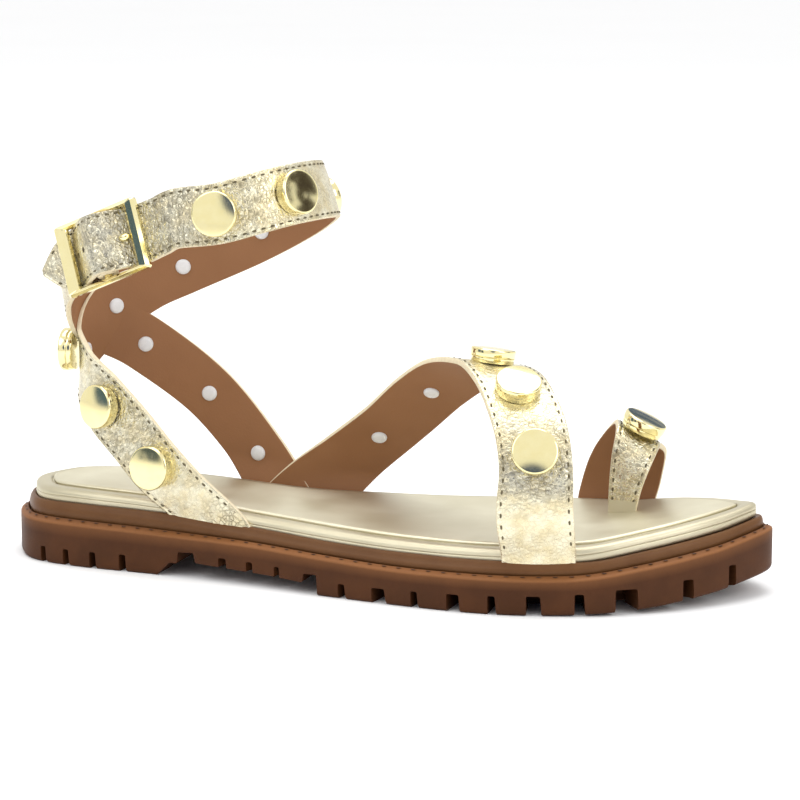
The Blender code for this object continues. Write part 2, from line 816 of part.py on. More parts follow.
def cut_toe_slot(pieces, cutters, tables):
    """Slot in the footbed and the sock for the toe strap's inner leg."""
    leg = make_strap("toe_slot", tables["toe"][:3], cutters, grow=CLEARANCE)
    for piece in pieces:
        boolean(piece, leg, "DIFFERENCE")


# Hardware

def stud_mesh(grip):
    """Turned profile of cap, post and back rivet, closed on its axis."""
    face = STRAP_THICKNESS / 2 + CLEARANCE + grip / 2
    back = -STRAP_THICKNESS / 2 - RIVET_GAP - grip / 2
    top = face + STUD_THICKNESS
    cap, post, rivet = STUD_DIAMETER / 2, POST_DIAMETER / 2, RIVET_DIAMETER / 2
    profile = (
        (0.0, top), (cap - STUD_CHAMFER, top), (cap, top - STUD_CHAMFER), (cap, face), (post, face),
        (post, back), (rivet, back), (rivet - STUD_CHAMFER / 2, back - RIVET_THICKNESS),
        (0.0, back - RIVET_THICKNESS),
    )
    mesh = bpy.data.meshes.new("stud")
    points = [(x, 0.0, z) for x, z in profile]
    mesh.from_pydata(points, [(i, i + 1) for i in range(len(points) - 1)], [])
    return mesh


def make_studs(parts, tables):
    for name, owner, place, grip in STUDS:
        item = add_object(name, stud_mesh(grip), parts, "gold")
        turn = item.modifiers.new("Turn", "SCREW")
        turn.steps = STUD_SIDES
        turn.render_steps = STUD_SIDES
        turn.use_merge_vertices = True
        turn.merge_threshold = 0.00001
        matrix = stud_matrix(tables[owner], place)
        shift = 0.5 * grip
        item.matrix_world = matrix @ Matrix.Translation((0, 0, shift))
        item.data.shade_smooth()


def make_buckle(parts, cutters):
    place = buckle_frame_matrix()
    inner_height = BAND_WIDTH + 2 * BUCKLE_PLAY
    outer_height = inner_height + 2 * BUCKLE_RAIL
    outer_length = BUCKLE_SPAN + BUCKLE_SIDE_BAR
    inner_length = BUCKLE_SPAN - BUCKLE_SIDE_BAR
    frame = box_object(
        "buckle_frame", parts, (outer_length, outer_height, BUCKLE_THICKNESS), (0, 0, 0),
        place, "gold",
    )
    rounding = frame.modifiers.new("Rounding", "BEVEL")
    rounding.width = BUCKLE_EDGE
    rounding.segments = 2
    bake(frame)
    window = box_object(
        "buckle_window", cutters, (inner_length, inner_height, 3 * BUCKLE_THICKNESS), (0, 0, 0),
        place,
    )
    bar = bar_cylinder(
        "centre_bar", cutters, CENTRE_BAR / 2, inner_height + BUCKLE_RAIL,
        across_matrix(place), 12,
    )
    boolean(frame, window, "DIFFERENCE")
    boolean(frame, bar, "UNION")
    return frame


def make_prong(parts, cutters):
    """Ring round the centre bar, a straight pin and a rounded tip at the front bar."""
    place = buckle_frame_matrix()
    inner = CENTRE_BAR / 2 + CLEARANCE
    outer = inner + PRONG_RING
    start = 0.5 * (inner + outer)
    end = BUCKLE_SPAN / 2 - BUCKLE_SIDE_BAR / 2 - 2.2 * CLEARANCE
    ring = bar_cylinder(
        "buckle_prong", parts, outer, PRONG_DIAMETER, across_matrix(place), 16, "gold",
    )
    bore = bar_cylinder(
        "prong_bore", cutters, inner, 2 * PRONG_DIAMETER, across_matrix(place), 14,
    )
    lift = Matrix.Translation(((start + end) / 2, 0, 0.0))
    pin = bar_cylinder(
        "prong_pin", cutters, PRONG_DIAMETER / 2 * 0.9, end - start,
        place @ lift @ Matrix.Rotation(math.radians(90), 4, "Y"), 10,
    )
    work = bmesh.new()
    bmesh.ops.create_uvsphere(work, u_segments=10, v_segments=6, radius=PRONG_DIAMETER * 0.72)
    tip_place = Matrix.Translation((end - PRONG_DIAMETER * 0.72, 0, PRONG_DIAMETER * 0.45))
    bmesh.ops.transform(work, matrix=place @ tip_place, verts=work.verts)
    tip = add_object("prong_tip", close_mesh("prong_tip", work), cutters)
    boolean(ring, bore, "DIFFERENCE")
    boolean(ring, pin, "UNION")
    boolean(ring, tip, "UNION")
    return ring


def main():
    clear_scene()
    parts = make_collection("gladiator_sandal")
    cutters = make_collection("cutters")
    tables = all_rows()
    make_outsole(parts, cutters)
    make_midsole(parts)
    footbed = make_footbed(parts)
    sock = make_sock(parts)
    make_upper(parts, cutters, tables)
    make_toe_strap(parts, cutters, tables)
    cut_toe_slot((footbed, sock), cutters, tables)
    make_studs(parts, tables)
    make_buckle(parts, cutters)
    make_prong(parts, cutters)


main()
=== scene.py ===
"""Gladiator sandal, right shoe: finished surfaces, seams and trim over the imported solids.

Laid out as an add-on and run as a script. Lengths are in metres, x runs to the toe, y to the
inner side of the foot and z up, with the origin on the ground under the middle of the heel.
"""

import math

import bpy
import bmesh
from bpy.props import FloatProperty, FloatVectorProperty, PointerProperty
from mathutils import Matrix, Vector, noise


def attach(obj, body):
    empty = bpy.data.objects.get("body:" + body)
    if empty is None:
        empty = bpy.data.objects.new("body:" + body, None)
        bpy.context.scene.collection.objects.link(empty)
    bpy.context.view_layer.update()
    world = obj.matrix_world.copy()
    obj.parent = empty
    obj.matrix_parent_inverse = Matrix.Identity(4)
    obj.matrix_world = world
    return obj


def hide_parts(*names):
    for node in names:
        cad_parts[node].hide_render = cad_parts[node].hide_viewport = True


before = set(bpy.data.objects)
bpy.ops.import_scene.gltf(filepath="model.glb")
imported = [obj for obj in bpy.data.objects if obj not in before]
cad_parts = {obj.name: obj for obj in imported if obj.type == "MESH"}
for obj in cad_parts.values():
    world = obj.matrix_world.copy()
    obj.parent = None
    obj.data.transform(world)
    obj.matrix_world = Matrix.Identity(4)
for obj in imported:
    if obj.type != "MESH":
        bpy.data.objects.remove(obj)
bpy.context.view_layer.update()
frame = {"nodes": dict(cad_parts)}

bl_info = {
    "name": "Gladiator Sandal",
    "version": (1, 0, 0),
    "blender": (4, 5, 0),
    "location": "3D View > Sidebar > Sandal",
    "description": "Builds the finished surfaces of a flat gladiator sandal",
    "category": "Object",
}

# Sizes of the solids
SOLE_LENGTH = 0.255
BALL_WIDTH = 0.0925
HEEL_WIDTH = 0.057
HEEL_CENTRE = 0.034
RIM_HEIGHT = 0.0145
BEAD_RISE = 0.0040
TOE_SPRING = 0.0078
FOOTBED_THICKNESS = 0.0048
SOCK_THICKNESS = 0.0012
SOCK_RECESS = 0.0007
RIM_WIDTH = 0.0025
GROOVE_DEPTH = 0.0009
BEAD_INSET = 0.0030
FOOTBED_INSET = 0.0053
SOCK_INSET = 0.0115
LUG_HEIGHT = 0.0056
LUG_REACH = 0.0130
CHANNEL_WIDTH = 0.0030
CHANNEL_DEPTH = 0.0025
CLEARANCE = 0.0003
STRAP_THICKNESS = 0.0019
BAND_WIDTH = 0.0192
VAMP_WIDTH = 0.0236
TOE_STRAP_WIDTH = 0.0265
INSTEP_RISE = 0.058
ANKLE_RISE = 0.108
TOE_RISE = 0.0305
STUD_DIAMETER = 0.0145
STUD_THICKNESS = 0.0046
RIVET_DIAMETER = 0.0052
BUCKLE_SPAN = 0.0272
BUCKLE_SIDE_BAR = 0.0044
BUCKLE_RAIL = 0.0019
BUCKLE_THICKNESS = 0.0030
BUCKLE_PLAY = 0.0005
FREE_END_LIFT = 0.0003
CENTRE_BAR = 0.0026
PRONG_DIAMETER = 0.0018
SLOT_PITCH = 0.0095

# Small shapes of the sole; the lap is how far a layer reaches in under the next
RIM_BEVEL = 0.22
ARCH_CORNER = 0.0005
SLOT_CORNER = 0.0006
LAP = 0.0006
# Width of the painted highlight along the rim's top edge
HIGHLIGHT_WIDTH = 0.0016
# Unevenness of the leather: depths and sizes
RIPPLE_DEPTH = 0.00010
RIPPLE_SIZE = 0.022
GRAIN_DEPTH = 0.00003
SOCK_GRAIN_SIZE = 0.006
LINING_GRAIN_SIZE = 0.004

# Small shapes of the straps, seams, marks, studs and buckle
STRAP_CROWN = 0.00022
STRAP_CORNER = 0.00042
SEAM_SPREAD = 0.00042
CREASE_SIZE = 0.0021
CREASE_FADE = (0.0003, 0.0022)
FOIL_CELL = 0.00125
TRIM_REACH = 0.030
STITCH_HEIGHT = 0.00034
END_GAP = 0.0001
MARK_INSET = 0.00165
MARK_SIZE = (0.0017, 0.00055, 0.00022)
CAP_DOME = 0.00034
BACK_HEIGHT = 0.0011
BUCKLE_CORNER = 0.0011
BAR_OVERLAP = 0.0012
PRONG_RING_WALL = 0.0013
PIN_ROOT = 0.0006

# Fineness of the meshes
HALF_RING = 200
CHANNEL_RING = 30
CURVE_STEPS = 40
GRID_CELLS = 84
STRAP_PITCH = 0.00055
STRAP_CELLS = 40
PLACES_PER_ROW = 40
CAP_SIDES = 64

# Outline of the heel: share of the length, then shares of half the heel width
HEEL_OUTLINE = (
    # along, lateral, medial
    (0.020, 0.45, 0.58),
    (0.055, 0.77, 0.87),
    (0.125, 0.94, 1.01),
    (0.240, 1.03, 0.98),
)
# Outline of the waist and forefoot: share of the length, then of half the ball width
FORE_OUTLINE = (
    # along, lateral, medial
    (0.373, 0.745, 0.60),
    (0.478, 0.865, 0.74),
    (0.608, 0.975, 0.92),
    (0.710, 0.990, 1.01),
    (0.808, 0.865, 0.985),
    (0.865, 0.705, 0.90),
    (0.925, 0.455, 0.70),
    (0.975, 0.130, 0.44),
)
TAIL_SIDE = 0.05
TIP_SIDE = 0.17

# Heights along the sole
SOLE_PROFILE = (
    # along, rim share of rim height, bead share of bead rise, tread share of toe spring
    (0.00, 0.98, 1.20, 0.00),
    (0.12, 0.99, 1.22, 0.00),
    (0.25, 0.95, 1.12, 0.00),
    (0.36, 0.93, 0.75, 0.00),
    (0.46, 0.86, 0.68, 0.00),
    (0.56, 0.79, 0.70, 0.00),
    (0.68, 0.79, 0.72, 0.00),
    (0.80, 0.82, 0.90, 0.06),
    (0.88, 1.02, 1.05, 0.22),
    (0.95, 1.24, 1.05, 0.58),
    (1.00, 1.48, 1.05, 1.00),
)

# Side view of the hollow under the waist
ARCH_PROFILE = (
    # share of the length, share of the lug height
    (0.232, -0.40),
    (0.236, 0.00),
    (0.255, 0.84),
    (0.266, 0.84),
    (0.268, 1.52),
    (0.290, 1.56),
    (0.293, 0.98),
    (0.320, 0.92),
    (0.405, 0.78),
    (0.446, 0.66),
    (0.448, 1.18),
    (0.466, 1.22),
    (0.468, -0.40),
)

# Slots between the lugs on both sides
SLOTS = (
    # along, width at the top, width at the bottom (shares of the slot pitch), roof share
    (0.070, 0.22, 0.31, 0.98),
    (0.106, 0.22, 0.31, 0.98),
    (0.146, 0.23, 0.32, 0.99),
    (0.189, 0.24, 0.33, 1.02),
    (0.334, 0.29, 0.45, 1.45),
    (0.372, 0.24, 0.35, 1.42),
    (0.411, 0.20, 0.30, 1.36),
    (0.503, 0.24, 0.38, 0.86),
    (0.554, 0.46, 0.64, 0.88),
    (0.601, 0.22, 0.34, 0.94),
    (0.651, 0.42, 0.52, 1.00),
    (0.700, 0.24, 0.36, 1.06),
    (0.750, 0.46, 0.56, 1.10),
    (0.804, 0.30, 0.42, 1.18),
    (0.856, 0.74, 0.84, 1.26),
    (0.921, 0.38, 0.46, 1.16),
    (0.965, 0.30, 0.36, 1.24),
)

# Straps: share of the length, share of half the ball width, share of the strap's rise,
# the way the outer face looks (degrees round from the toe, degrees up), width share
VAMP_ROWS = (
    # along, side, rise, facing, tilt, width
    (0.752, -0.880, -0.150, -75, 0, 1.0),
    (0.750, -0.895, 0.110, -75, 3, 1.0),
    (0.748, -0.925, 0.310, -76, 9, 1.0),
    (0.748, -0.900, 0.520, -76, 22, 0.96),
    (0.737, -0.795, 0.710, -73, 37, 0.95),
    (0.715, -0.620, 0.853, -64, 50, 0.95),
    (0.687, -0.400, 0.953, -50, 62, 0.97),
    (0.650, -0.150, 0.982, -22, 67, 1.0),
    (0.601, 0.065, 0.900, 22, 65, 1.0),
    (0.552, 0.260, 0.755, 54, 62, 1.0),
    (0.495, 0.435, 0.530, 74, 57, 1.0),
    (0.431, 0.560, 0.290, 86, 44, 1.0),
    (0.372, 0.535, 0.050, 93, 18, 1.0),
    (0.318, 0.500, -0.200, 97, 0, 1.0),
)
BAND_A_ROWS = (
    # along, side, rise, facing, tilt, width
    (0.352, -0.625, -0.085, -90, 0, 1.0),
    (0.319, -0.628, 0.000, -92, 2, 1.0),
    (0.274, -0.605, 0.078, -98, 5, 1.02),
    (0.233, -0.550, 0.155, -106, 8, 1.05),
    (0.196, -0.485, 0.233, -116, 13, 1.07),
    (0.154, -0.395, 0.312, -128, 16, 1.08),
    (0.112, -0.235, 0.390, -152, 10, 1.05),
    (0.094, 0.000, 0.458, -180, 3, 1.0),
    (0.110, 0.240, 0.560, -216, -3, 1.0),
    (0.149, 0.410, 0.642, -238, 0, 1.0),
    (0.198, 0.530, 0.702, -253, 3, 1.0),
    (0.285, 0.630, 0.805, -268, 2, 1.0),
    (0.358, 0.590, 0.907, -286, 5, 1.0),
    (0.407, 0.370, 0.983, -318, 14, 1.0),
    (0.423, 0.020, 1.008, -358, 19, 1.0),
    (0.406, -0.355, 1.005, -402, 14, 1.0),
    (0.372, -0.565, 0.980, -432, 5, 1.0),
    (0.326, -0.645, 0.943, -447, 5, 1.0),
)
BAND_B_ROWS = (
    # along, side, rise, facing, tilt, width
    (0.370, 0.500, -0.110, 90, 0, 1.0),
    (0.338, 0.508, 0.000, 90, 2, 1.0),
    (0.300, 0.560, 0.118, 94, 7, 1.0),
    (0.228, 0.560, 0.300, 105, 7, 1.0),
    (0.148, 0.400, 0.452, 124, 2, 1.0),
    (0.105, 0.226, 0.520, 147, 4, 1.0),
    (0.082, 0.000, 0.585, 180, -12, 1.0),
    (0.084, -0.235, 0.670, 214, -3, 1.0),
)
TOE_ROWS = (
    # along, side, rise, facing, tilt, width
    (0.802, 0.313, -0.080, -90, 0, 0.31),
    (0.803, 0.313, 0.130, -90, 0, 0.33),
    (0.807, 0.318, 0.450, -90, 4, 0.40),
    (0.813, 0.345, 0.720, -82, 24, 0.49),
    (0.817, 0.435, 0.915, -44, 53, 0.56),
    (0.813, 0.570, 0.955, 0, 63, 0.62),
    (0.806, 0.740, 0.850, 60, 48, 0.78),
    (0.786, 0.865, 0.520, 78, 24, 0.95),
    (0.773, 0.915, 0.180, 83, 7, 1.0),
    (0.769, 0.917, -0.150, 85, 0, 1.0),
)
# The free end of the ankle strap, in the buckle's own directions, in shares of its span
FREE_END = (
    # forward, outward (1 over the centre bar, -1 under the side bars), width
    (1.04, -0.60, 1.0),
    (0.78, -0.86, 1.0),
    (0.56, -1.02, 1.02),
    (0.40, -1.05, 1.03),
    (0.19, 0.42, 1.03),
    (0.00, 1.02, 1.03),
    (-0.19, 0.42, 1.03),
    (-0.40, -1.05, 1.03),
    (-0.56, -1.05, 0.96),
    (-0.66, -1.00, 0.82),
    (-0.75, -0.90, 0.60),
    (-0.90, -0.76, 0.14),
)
BUCKLE_PLACE = (0.1700, -0.640, 0.812)
BUCKLE_FORWARD = (0.921, -0.090, 0.378)
BUCKLE_OUTWARD = (0.0, -1.0, 0.30)

# Studs: strap, place along its rows counted in rows, extra grip through a second layer
STUDS = (
    ("stud_vamp_1", "vamp", 3.42, 0.0),
    ("stud_vamp_2", "vamp", 5.30, 0.0),
    ("stud_vamp_3", "vamp", 6.85, 0.0),
    ("stud_vamp_4", "vamp", 8.95, 0.0),
    ("stud_vamp_5", "vamp", 10.40, 0.0),
    ("stud_lateral_1", "band_a", 3.00, 0.0),
    ("stud_lateral_2", "band_a", 5.00, 0.0004),
    ("stud_heel", "band_a", 6.93, 0.0020),
    ("stud_medial_1", "band_a", 8.18, 0.0024),
    ("stud_medial_2", "band_a", 9.95, 0.0),
    ("stud_medial_3", "band_a", 11.18, 0.0),
    ("stud_front", "band_a", 12.42, 0.0),
    ("stud_ankle_1", "band_a", 15.05, 0.0),
    ("stud_ankle_2", "band_a", 17.00, 0.0),
    ("stud_quarter_1", "band_b", 2.05, 0.0),
    ("stud_quarter_2", "band_b", 3.00, 0.0),
    ("stud_quarter_3", "band_b", 4.00, 0.0004),
    ("stud_toe", "toe", 4.60, 0.0010),
)

# Low down the straps are drawn in behind the bead's crown: least distance from the sole's
# outline, height over which that fades out, and points of half the outline
TUCK_INSET = 0.0043
TUCK_REACH = 0.013
TUCK_RING = 220
# Stitches start this far above the bead
STITCH_CLEAR = 0.0022
# Seams: strap, first and last place in rows, and the pitch where it isn't the panel's
STITCH_RUNS = (
    ("vamp", 1.05, 12.3, 0.0036),
    ("band_a", 1.2, 18.6, None),
    ("band_a", 18.7, 27.6, 0.0029),
    ("band_b", 1.2, 7.0, None),
    ("toe", 1.3, 8.2, None),
)
# Side of a stud's cap below its round edge: how far it narrows, height
CAP_SIDE = (
    (0.0, 0.0018), (0.00012, 0.0015), (0.00035, 0.0013), (0.00035, 0.0002), (0.0007, -CLEARANCE),
)
# Adjuster holes of the free end: forward from the centre bar in frame lengths, and their radius
HOLE_PLACES = (-0.06, -0.30)
HOLE_RADIUS = 0.0010
# How far the bead's crown stands above its outer top: place from the heel's centre, rise
BEAD_CROWN = (
    (-0.034, 0.0008), (-0.014, 0.0009), (0.020, 0.0014), (0.055, 0.0021), (0.090, 0.0018), (0.120, 0.0020),
    (0.145, 0.0017), (0.163, 0.0010), (0.176, 0.0004), (0.221, 0.0002),
)
# How crumpled the foil is along each strap, which also sets how much painted shade lies in its creases:
# place in rows, amount
CRUMPLE = {
    "vamp": ((0, 0.22), (2.1, 0.28), (2.6, 0.95), (3.2, 1.0), (4.0, 0.7), (4.8, 0.4), (13, 0.4)),
    "band_a": (
        (0, 0.9), (1.0, 0.8), (1.6, 0.25), (2.6, 0.25), (3.3, 0.8), (5.0, 0.7), (5.8, 0.35), (8, 0.5),
        (14, 0.45), (15.2, 0.45), (15.8, 0.85), (17.2, 0.95), (22.6, 1.0), (23.4, 0.45), (29, 0.35),
    ),
    "band_b": ((0, 0.6), (10, 0.6)),
    "toe": ((0, 0.5), (3, 0.7), (6, 0.9), (9, 0.5)),
}
# How much painted shade greys the foil along each strap, in the buckle's window and the vamp's crumpled
# middle: place in rows, amount
PAINTED_SHADE = {
    "vamp": ((0, 0.05), (2.2, 0.05), (2.6, 0.6), (3.2, 0.6), (3.8, 0.05), (13, 0.0)),
    "band_a": (
        (0, 0.15), (3, 0.25), (5, 0.35), (6.5, 0.25), (14, 0.0), (16.2, 0.05), (17.4, 0.40), (19, 0.55),
        (22.8, 0.60), (24, 0.35), (29, 0.40),
    ),
    "band_b": ((0, 0.2), (10, 0.2)),
    "toe": ((0, 0.1), (9, 0.1)),
}

# Camera in the shoe's frame, with its lens and sensor in millimetres
CAMERA_PLACE = (0.3666, -0.8448, 0.2163)
CAMERA_TARGET = (0.1002, 0.0, 0.0569)
CAMERA_LENS = 125.1
SENSOR_WIDTH = 36.0
# Square lamps: name, place, what they look at, side, power
LAMPS = (
    ("key", (-0.55, -0.95, 1.15), (0.10, 0.0, 0.03), 0.9, 5.0),
    ("fill", (1.25, -0.55, 0.75), (0.10, 0.0, 0.04), 0.8, 5.0),
    ("top", (0.10, 0.25, 1.35), (0.10, 0.0, 0.0), 1.0, 9.0),
)
FLOOR_HALF = 20.0
ROOM_STRENGTH = 1.04
# Dark panels of the room that the metal mirrors, in degrees, and how soft their edges are
DARK_PANELS = (
    # round from the toe, up, half width, share that is broken up, colour
    (-76, 17, 13, 0.0, (0.085, 0.120, 0.240)),
    (-152, 8, 9, 0.0, (0.085, 0.145, 0.240)),
    (-134, 3, 8, 0.5, (0.060, 0.090, 0.130)),
    (15, 17, 12, 0.9, (0.055, 0.045, 0.040)),
    (90, 17, 8, 0.2, (0.080, 0.120, 0.220)),
)
PANEL_SOFTNESS = 2


# Rows and curves

def hermite(before, start, end, after, share):
    """Catmull and Rom's curve between start and end, for tuples of numbers."""
    a, b, c = share, share * share, share ** 3
    return tuple(
        0.5 * (2 * q + (r - p) * a + (2 * p - 5 * q + 4 * r - s) * b + (3 * q - p - 3 * r + s) * c)
        for p, q, r, s in zip(before, start, end, after)
    )


def reflect(end, inner):
    return tuple(2 * a - b for a, b in zip(end, inner))


def along_rows(rows, place):
    """Value of a row table at a place counted in rows, on a smooth curve."""
    last = len(rows) - 1
    index = min(max(int(math.floor(place)), 0), last - 1)
    before = rows[index - 1] if index > 0 else reflect(rows[0], rows[1])
    after = rows[index + 2] if index + 2 <= last else reflect(rows[last], rows[last - 1])
    return hermite(before, rows[index], rows[index + 1], after, place - index)


def table_at(table, place):
    """Straight-line reading of a table of (place, value)."""
    for (a, low), (b, high) in zip(table, table[1:]):
        if place <= b:
            return low + (high - low) * max(place - a, 0.0) / (b - a)
    return table[-1][1]


def smooth(low, high, value):
    """Soft step from 0 at low to 1 at high."""
    share = min(max((value - low) / (high - low), 0.0), 1.0)
    return share * share * (3 - 2 * share)


def quarter_turn(steps, first=0):
    """Angles at even steps of a quarter turn."""
    return [math.radians(90) * step / steps for step in range(first, steps + 1)]


def running_lengths(gaps):
    """Distance from the start to each point of a line, from the gaps between its points."""
    lengths = [0.0]
    for gap in gaps:
        lengths.append(lengths[-1] + gap)
    return lengths


def even_stops(lengths, count):
    """Stops at even distances on a measured line: distance, piece of the line, share of it."""
    index = 0
    for step in range(count + 1):
        target = lengths[-1] * step / count
        while index < len(lengths) - 2 and lengths[index + 1] < target:
            index += 1
        yield target, index, (target - lengths[index]) / (lengths[index + 1] - lengths[index])


def profile_at(along):
    """Rim height, bead top and tread height at a share of the length."""
    along = min(max(along, 0.0), 1.0)
    for index in range(len(SOLE_PROFILE) - 1):
        low, high = SOLE_PROFILE[index], SOLE_PROFILE[index + 1]
        if along <= high[0]:
            break
    share = (along - low[0]) / (high[0] - low[0])
    _, rim, bead, tread_share = along_rows(SOLE_PROFILE, index + share)
    rim_height = rim * RIM_HEIGHT
    return rim_height, rim_height + bead * BEAD_RISE, max(tread_share, 0.0) * TOE_SPRING


def share_of(x):
    return (x + HEEL_CENTRE) / SOLE_LENGTH


def rim_top(x):
    return profile_at(share_of(x))[0]


def bead_top(x):
    return profile_at(share_of(x))[1]


def tread(x):
    return profile_at(share_of(x))[2]


def footbed_level(share, rise=0.0):
    return lambda x: bead_top(x) + CLEARANCE + share * FOOTBED_THICKNESS + rise


# Sole outline

def outline_points(side):
    """Control points of one side from the back of the heel to the toe tip."""
    column = 1 if side < 0 else 2
    half_heel, half_ball = HEEL_WIDTH / 2, BALL_WIDTH / 2
    points = [(0.0, TAIL_SIDE * half_heel)]
    points += [(row[0] * SOLE_LENGTH, side * row[column] * half_heel) for row in HEEL_OUTLINE]
    points += [(row[0] * SOLE_LENGTH, side * row[column] * half_ball) for row in FORE_OUTLINE]
    points.append((SOLE_LENGTH, TIP_SIDE * half_ball))
    return points


def even_points(points, before, after, count):
    """Points at even distances on the smooth curve through the control points."""
    rows = [before] + points + [after]
    fine = []
    for index in range(1, len(rows) - 2):
        for step in range(CURVE_STEPS):
            fine.append(hermite(*rows[index - 1:index + 3], step / CURVE_STEPS))
    fine.append(points[-1])
    lengths = running_lengths(math.dist(a, b) for a, b in zip(fine, fine[1:]))
    found = []
    for _, index, share in even_stops(lengths, count):
        a, b = fine[index], fine[index + 1]
        found.append((a[0] + (b[0] - a[0]) * share, a[1] + (b[1] - a[1]) * share))
    return found


def sole_ring(half=HALF_RING):
    """Closed outline in the shoe's frame, lateral side first, as 2-D vectors."""
    lateral, medial = outline_points(-1), outline_points(1)
    outer = even_points(lateral, medial[1], medial[-2], half)
    inner = even_points(medial, lateral[1], lateral[-2], half)
    ring = outer + inner[-2:0:-1]
    return [Vector((x - HEEL_CENTRE, y)) for x, y in ring]


def ring_ways(ring, index):
    """The way ahead along a ring at one of its points, and the way inwards."""
    ahead = ring[(index + 1) % len(ring)] - ring[index - 1]
    return ahead, Vector((-ahead.y, ahead.x)).normalized()


def inset_ring(ring, distance):
    return [point + ring_ways(ring, index)[1] * distance for index, point in enumerate(ring)]


def side_place(ring, along):
    """Outline points on both sides at a share of the length, with their inward directions."""
    x = along * SOLE_LENGTH - HEEL_CENTRE
    half = len(ring) // 2
    found = []
    for indices in (range(1, half), range(half + 1, len(ring))):
        index = min(indices, key=lambda i: abs(ring[i].x - x))
        ahead, inward = ring_ways(ring, index)
        point = ring[index] + ahead * ((x - ring[index].x) / ahead.x)
        found.append((point, ahead.normalized(), inward))
    return found


# Objects and meshes

def add_object(name, mesh, materials=()):
    item = bpy.data.objects.new(name, mesh)
    bpy.context.scene.collection.objects.link(item)
    for material in materials:
        mesh.materials.append(material)
    return item


def close_mesh(name, work):
    bmesh.ops.recalc_face_normals(work, faces=work.faces)
    mesh = bpy.data.meshes.new(name)
    work.to_mesh(mesh)
    work.free()
    return mesh


def bake(item):
    """Turn an object's modifiers into plain mesh."""
    bpy.context.view_layer.update()
    graph = bpy.context.evaluated_depsgraph_get()
    mesh = bpy.data.meshes.new_from_object(item.evaluated_get(graph))
    item.modifiers.clear()
    item.data = mesh


def cut(item, cutters):
    """Take the cutters out of an object with exact Booleans, and remove them."""
    for cutter in cutters:
        modifier = item.modifiers.new("Cut", "BOOLEAN")
        modifier.operation = "DIFFERENCE"
        modifier.solver = "EXACT"
        modifier.object = cutter
    bake(item)
    for cutter in cutters:
        bpy.data.objects.remove(cutter)


def shade(item, angle=35):
    item.data.shade_smooth()
    item.data.set_sharp_from_angle(angle=math.radians(angle))


def settle(item, nodes=()):
    """Ride on the one body and stand for the CAD nodes."""
    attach(item, "root")
    if nodes:
        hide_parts(*nodes)
    return item


def bridge(work, rings):
    """Faces from each ring of points to the next."""
    for low, high in zip(rings, rings[1:]):
        for index in range(len(low)):
            after = (index + 1) % len(low)
            work.faces.new((low[index], low[after], high[after], high[index]))


def ring_stack(name, levels, top=None):
    """Closed plate from rings of (inset, height function), bottom first.

    With a top function of x and y, the upper face is a fine grid that follows it.
    """
    ring = sole_ring()
    work = bmesh.new()
    layers = []
    for distance, height in levels:
        points = inset_ring(ring, distance)
        layers.append([work.verts.new((p.x, p.y, height(p.x))) for p in points])
    bridge(work, layers)
    for layer in (layers[0], layers[-1]):
        cells = GRID_CELLS if top and layer is layers[-1] else 1
        cap_ring(work, layer, cells, top)
    return close_mesh(name, work)


def cap_ring(work, layer, cells, top):
    """Close a ring with rows of faces from its lateral to its medial half."""
    rows = []
    for index in range(1, HALF_RING):
        start, end = layer[index], layer[-index]
        row = [start]
        for cell in range(1, cells):
            point = start.co.lerp(end.co, cell / cells)
            point.z = top(point.x, point.y)
            row.append(work.verts.new(point))
        rows.append(row + [end])
    for low, high in zip(rows, rows[1:]):
        for cell in range(cells):
            work.faces.new((low[cell], high[cell], high[cell + 1], low[cell + 1]))
    for tip, row in ((layer[0], rows[0]), (layer[HALF_RING], rows[-1])):
        for cell in range(cells):
            work.faces.new((tip, row[cell], row[cell + 1]))


def prism(work, corners, depth):
    """Add a closed prism: 3-D corners of one end and the vector to the other end."""
    base = [work.verts.new(corner) for corner in corners]
    face = work.faces.new(base)
    grown = bmesh.ops.extrude_face_region(work, geom=[face])
    moved = [item for item in grown["geom"] if isinstance(item, bmesh.types.BMVert)]
    bmesh.ops.translate(work, verts=moved, vec=depth)


def rounded_corners(corners, radius, steps=3):
    """The same flat outline with each corner turned into a short arc."""
    points = []
    for index, corner in enumerate(corners):
        before, after = corners[index - 1] - corner, corners[(index + 1) % len(corners)] - corner
        reach = min(radius, 0.45 * before.length, 0.45 * after.length)
        start, end = corner + before.normalized() * reach, corner + after.normalized() * reach
        for step in range(steps + 1):
            share = step / steps
            first, second = start.lerp(corner, share), corner.lerp(end, share)
            points.append(first.lerp(second, share))
    return points


def turned(name, profile, sides, matrix=None):
    """Closed solid turned round the z axis from (radius, height), top to bottom."""
    work = bmesh.new()
    rings = []
    for radius, height in profile:
        if radius == 0.0:
            rings.append([work.verts.new((0.0, 0.0, height))])
            continue
        angles = [2 * math.pi * step / sides for step in range(sides)]
        rings.append([
            work.verts.new((radius * math.cos(a), radius * math.sin(a), height)) for a in angles
        ])
    for high, low in zip(rings, rings[1:]):
        for step in range(sides):
            after = (step + 1) % sides
            if len(high) == 1:
                work.faces.new((high[0], low[step], low[after]))
            elif len(low) == 1:
                work.faces.new((high[step], low[0], high[after]))
            else:
                work.faces.new((high[step], low[step], low[after], high[after]))
    if matrix:
        bmesh.ops.transform(work, matrix=matrix, verts=work.verts)
    return close_mesh(name, work)


# Straps

def facing_vector(facing, tilt):
    round_toe, up = math.radians(facing), math.radians(tilt)
    return Vector((
        math.cos(round_toe) * math.cos(up), math.sin(round_toe) * math.cos(up), math.sin(up),
    ))


def strap_rows(table, rise, width):
    """Rows of centre, outward direction and width, as tuples of seven numbers."""
    rows = []
    for along, side, height, facing, tilt, share in table:
        x = along * SOLE_LENGTH - HEEL_CENTRE
        centre = (x, side * BALL_WIDTH / 2, bead_top(x) + height * rise)
        rows.append((*centre, *facing_vector(facing, tilt), share * width))
    return rows


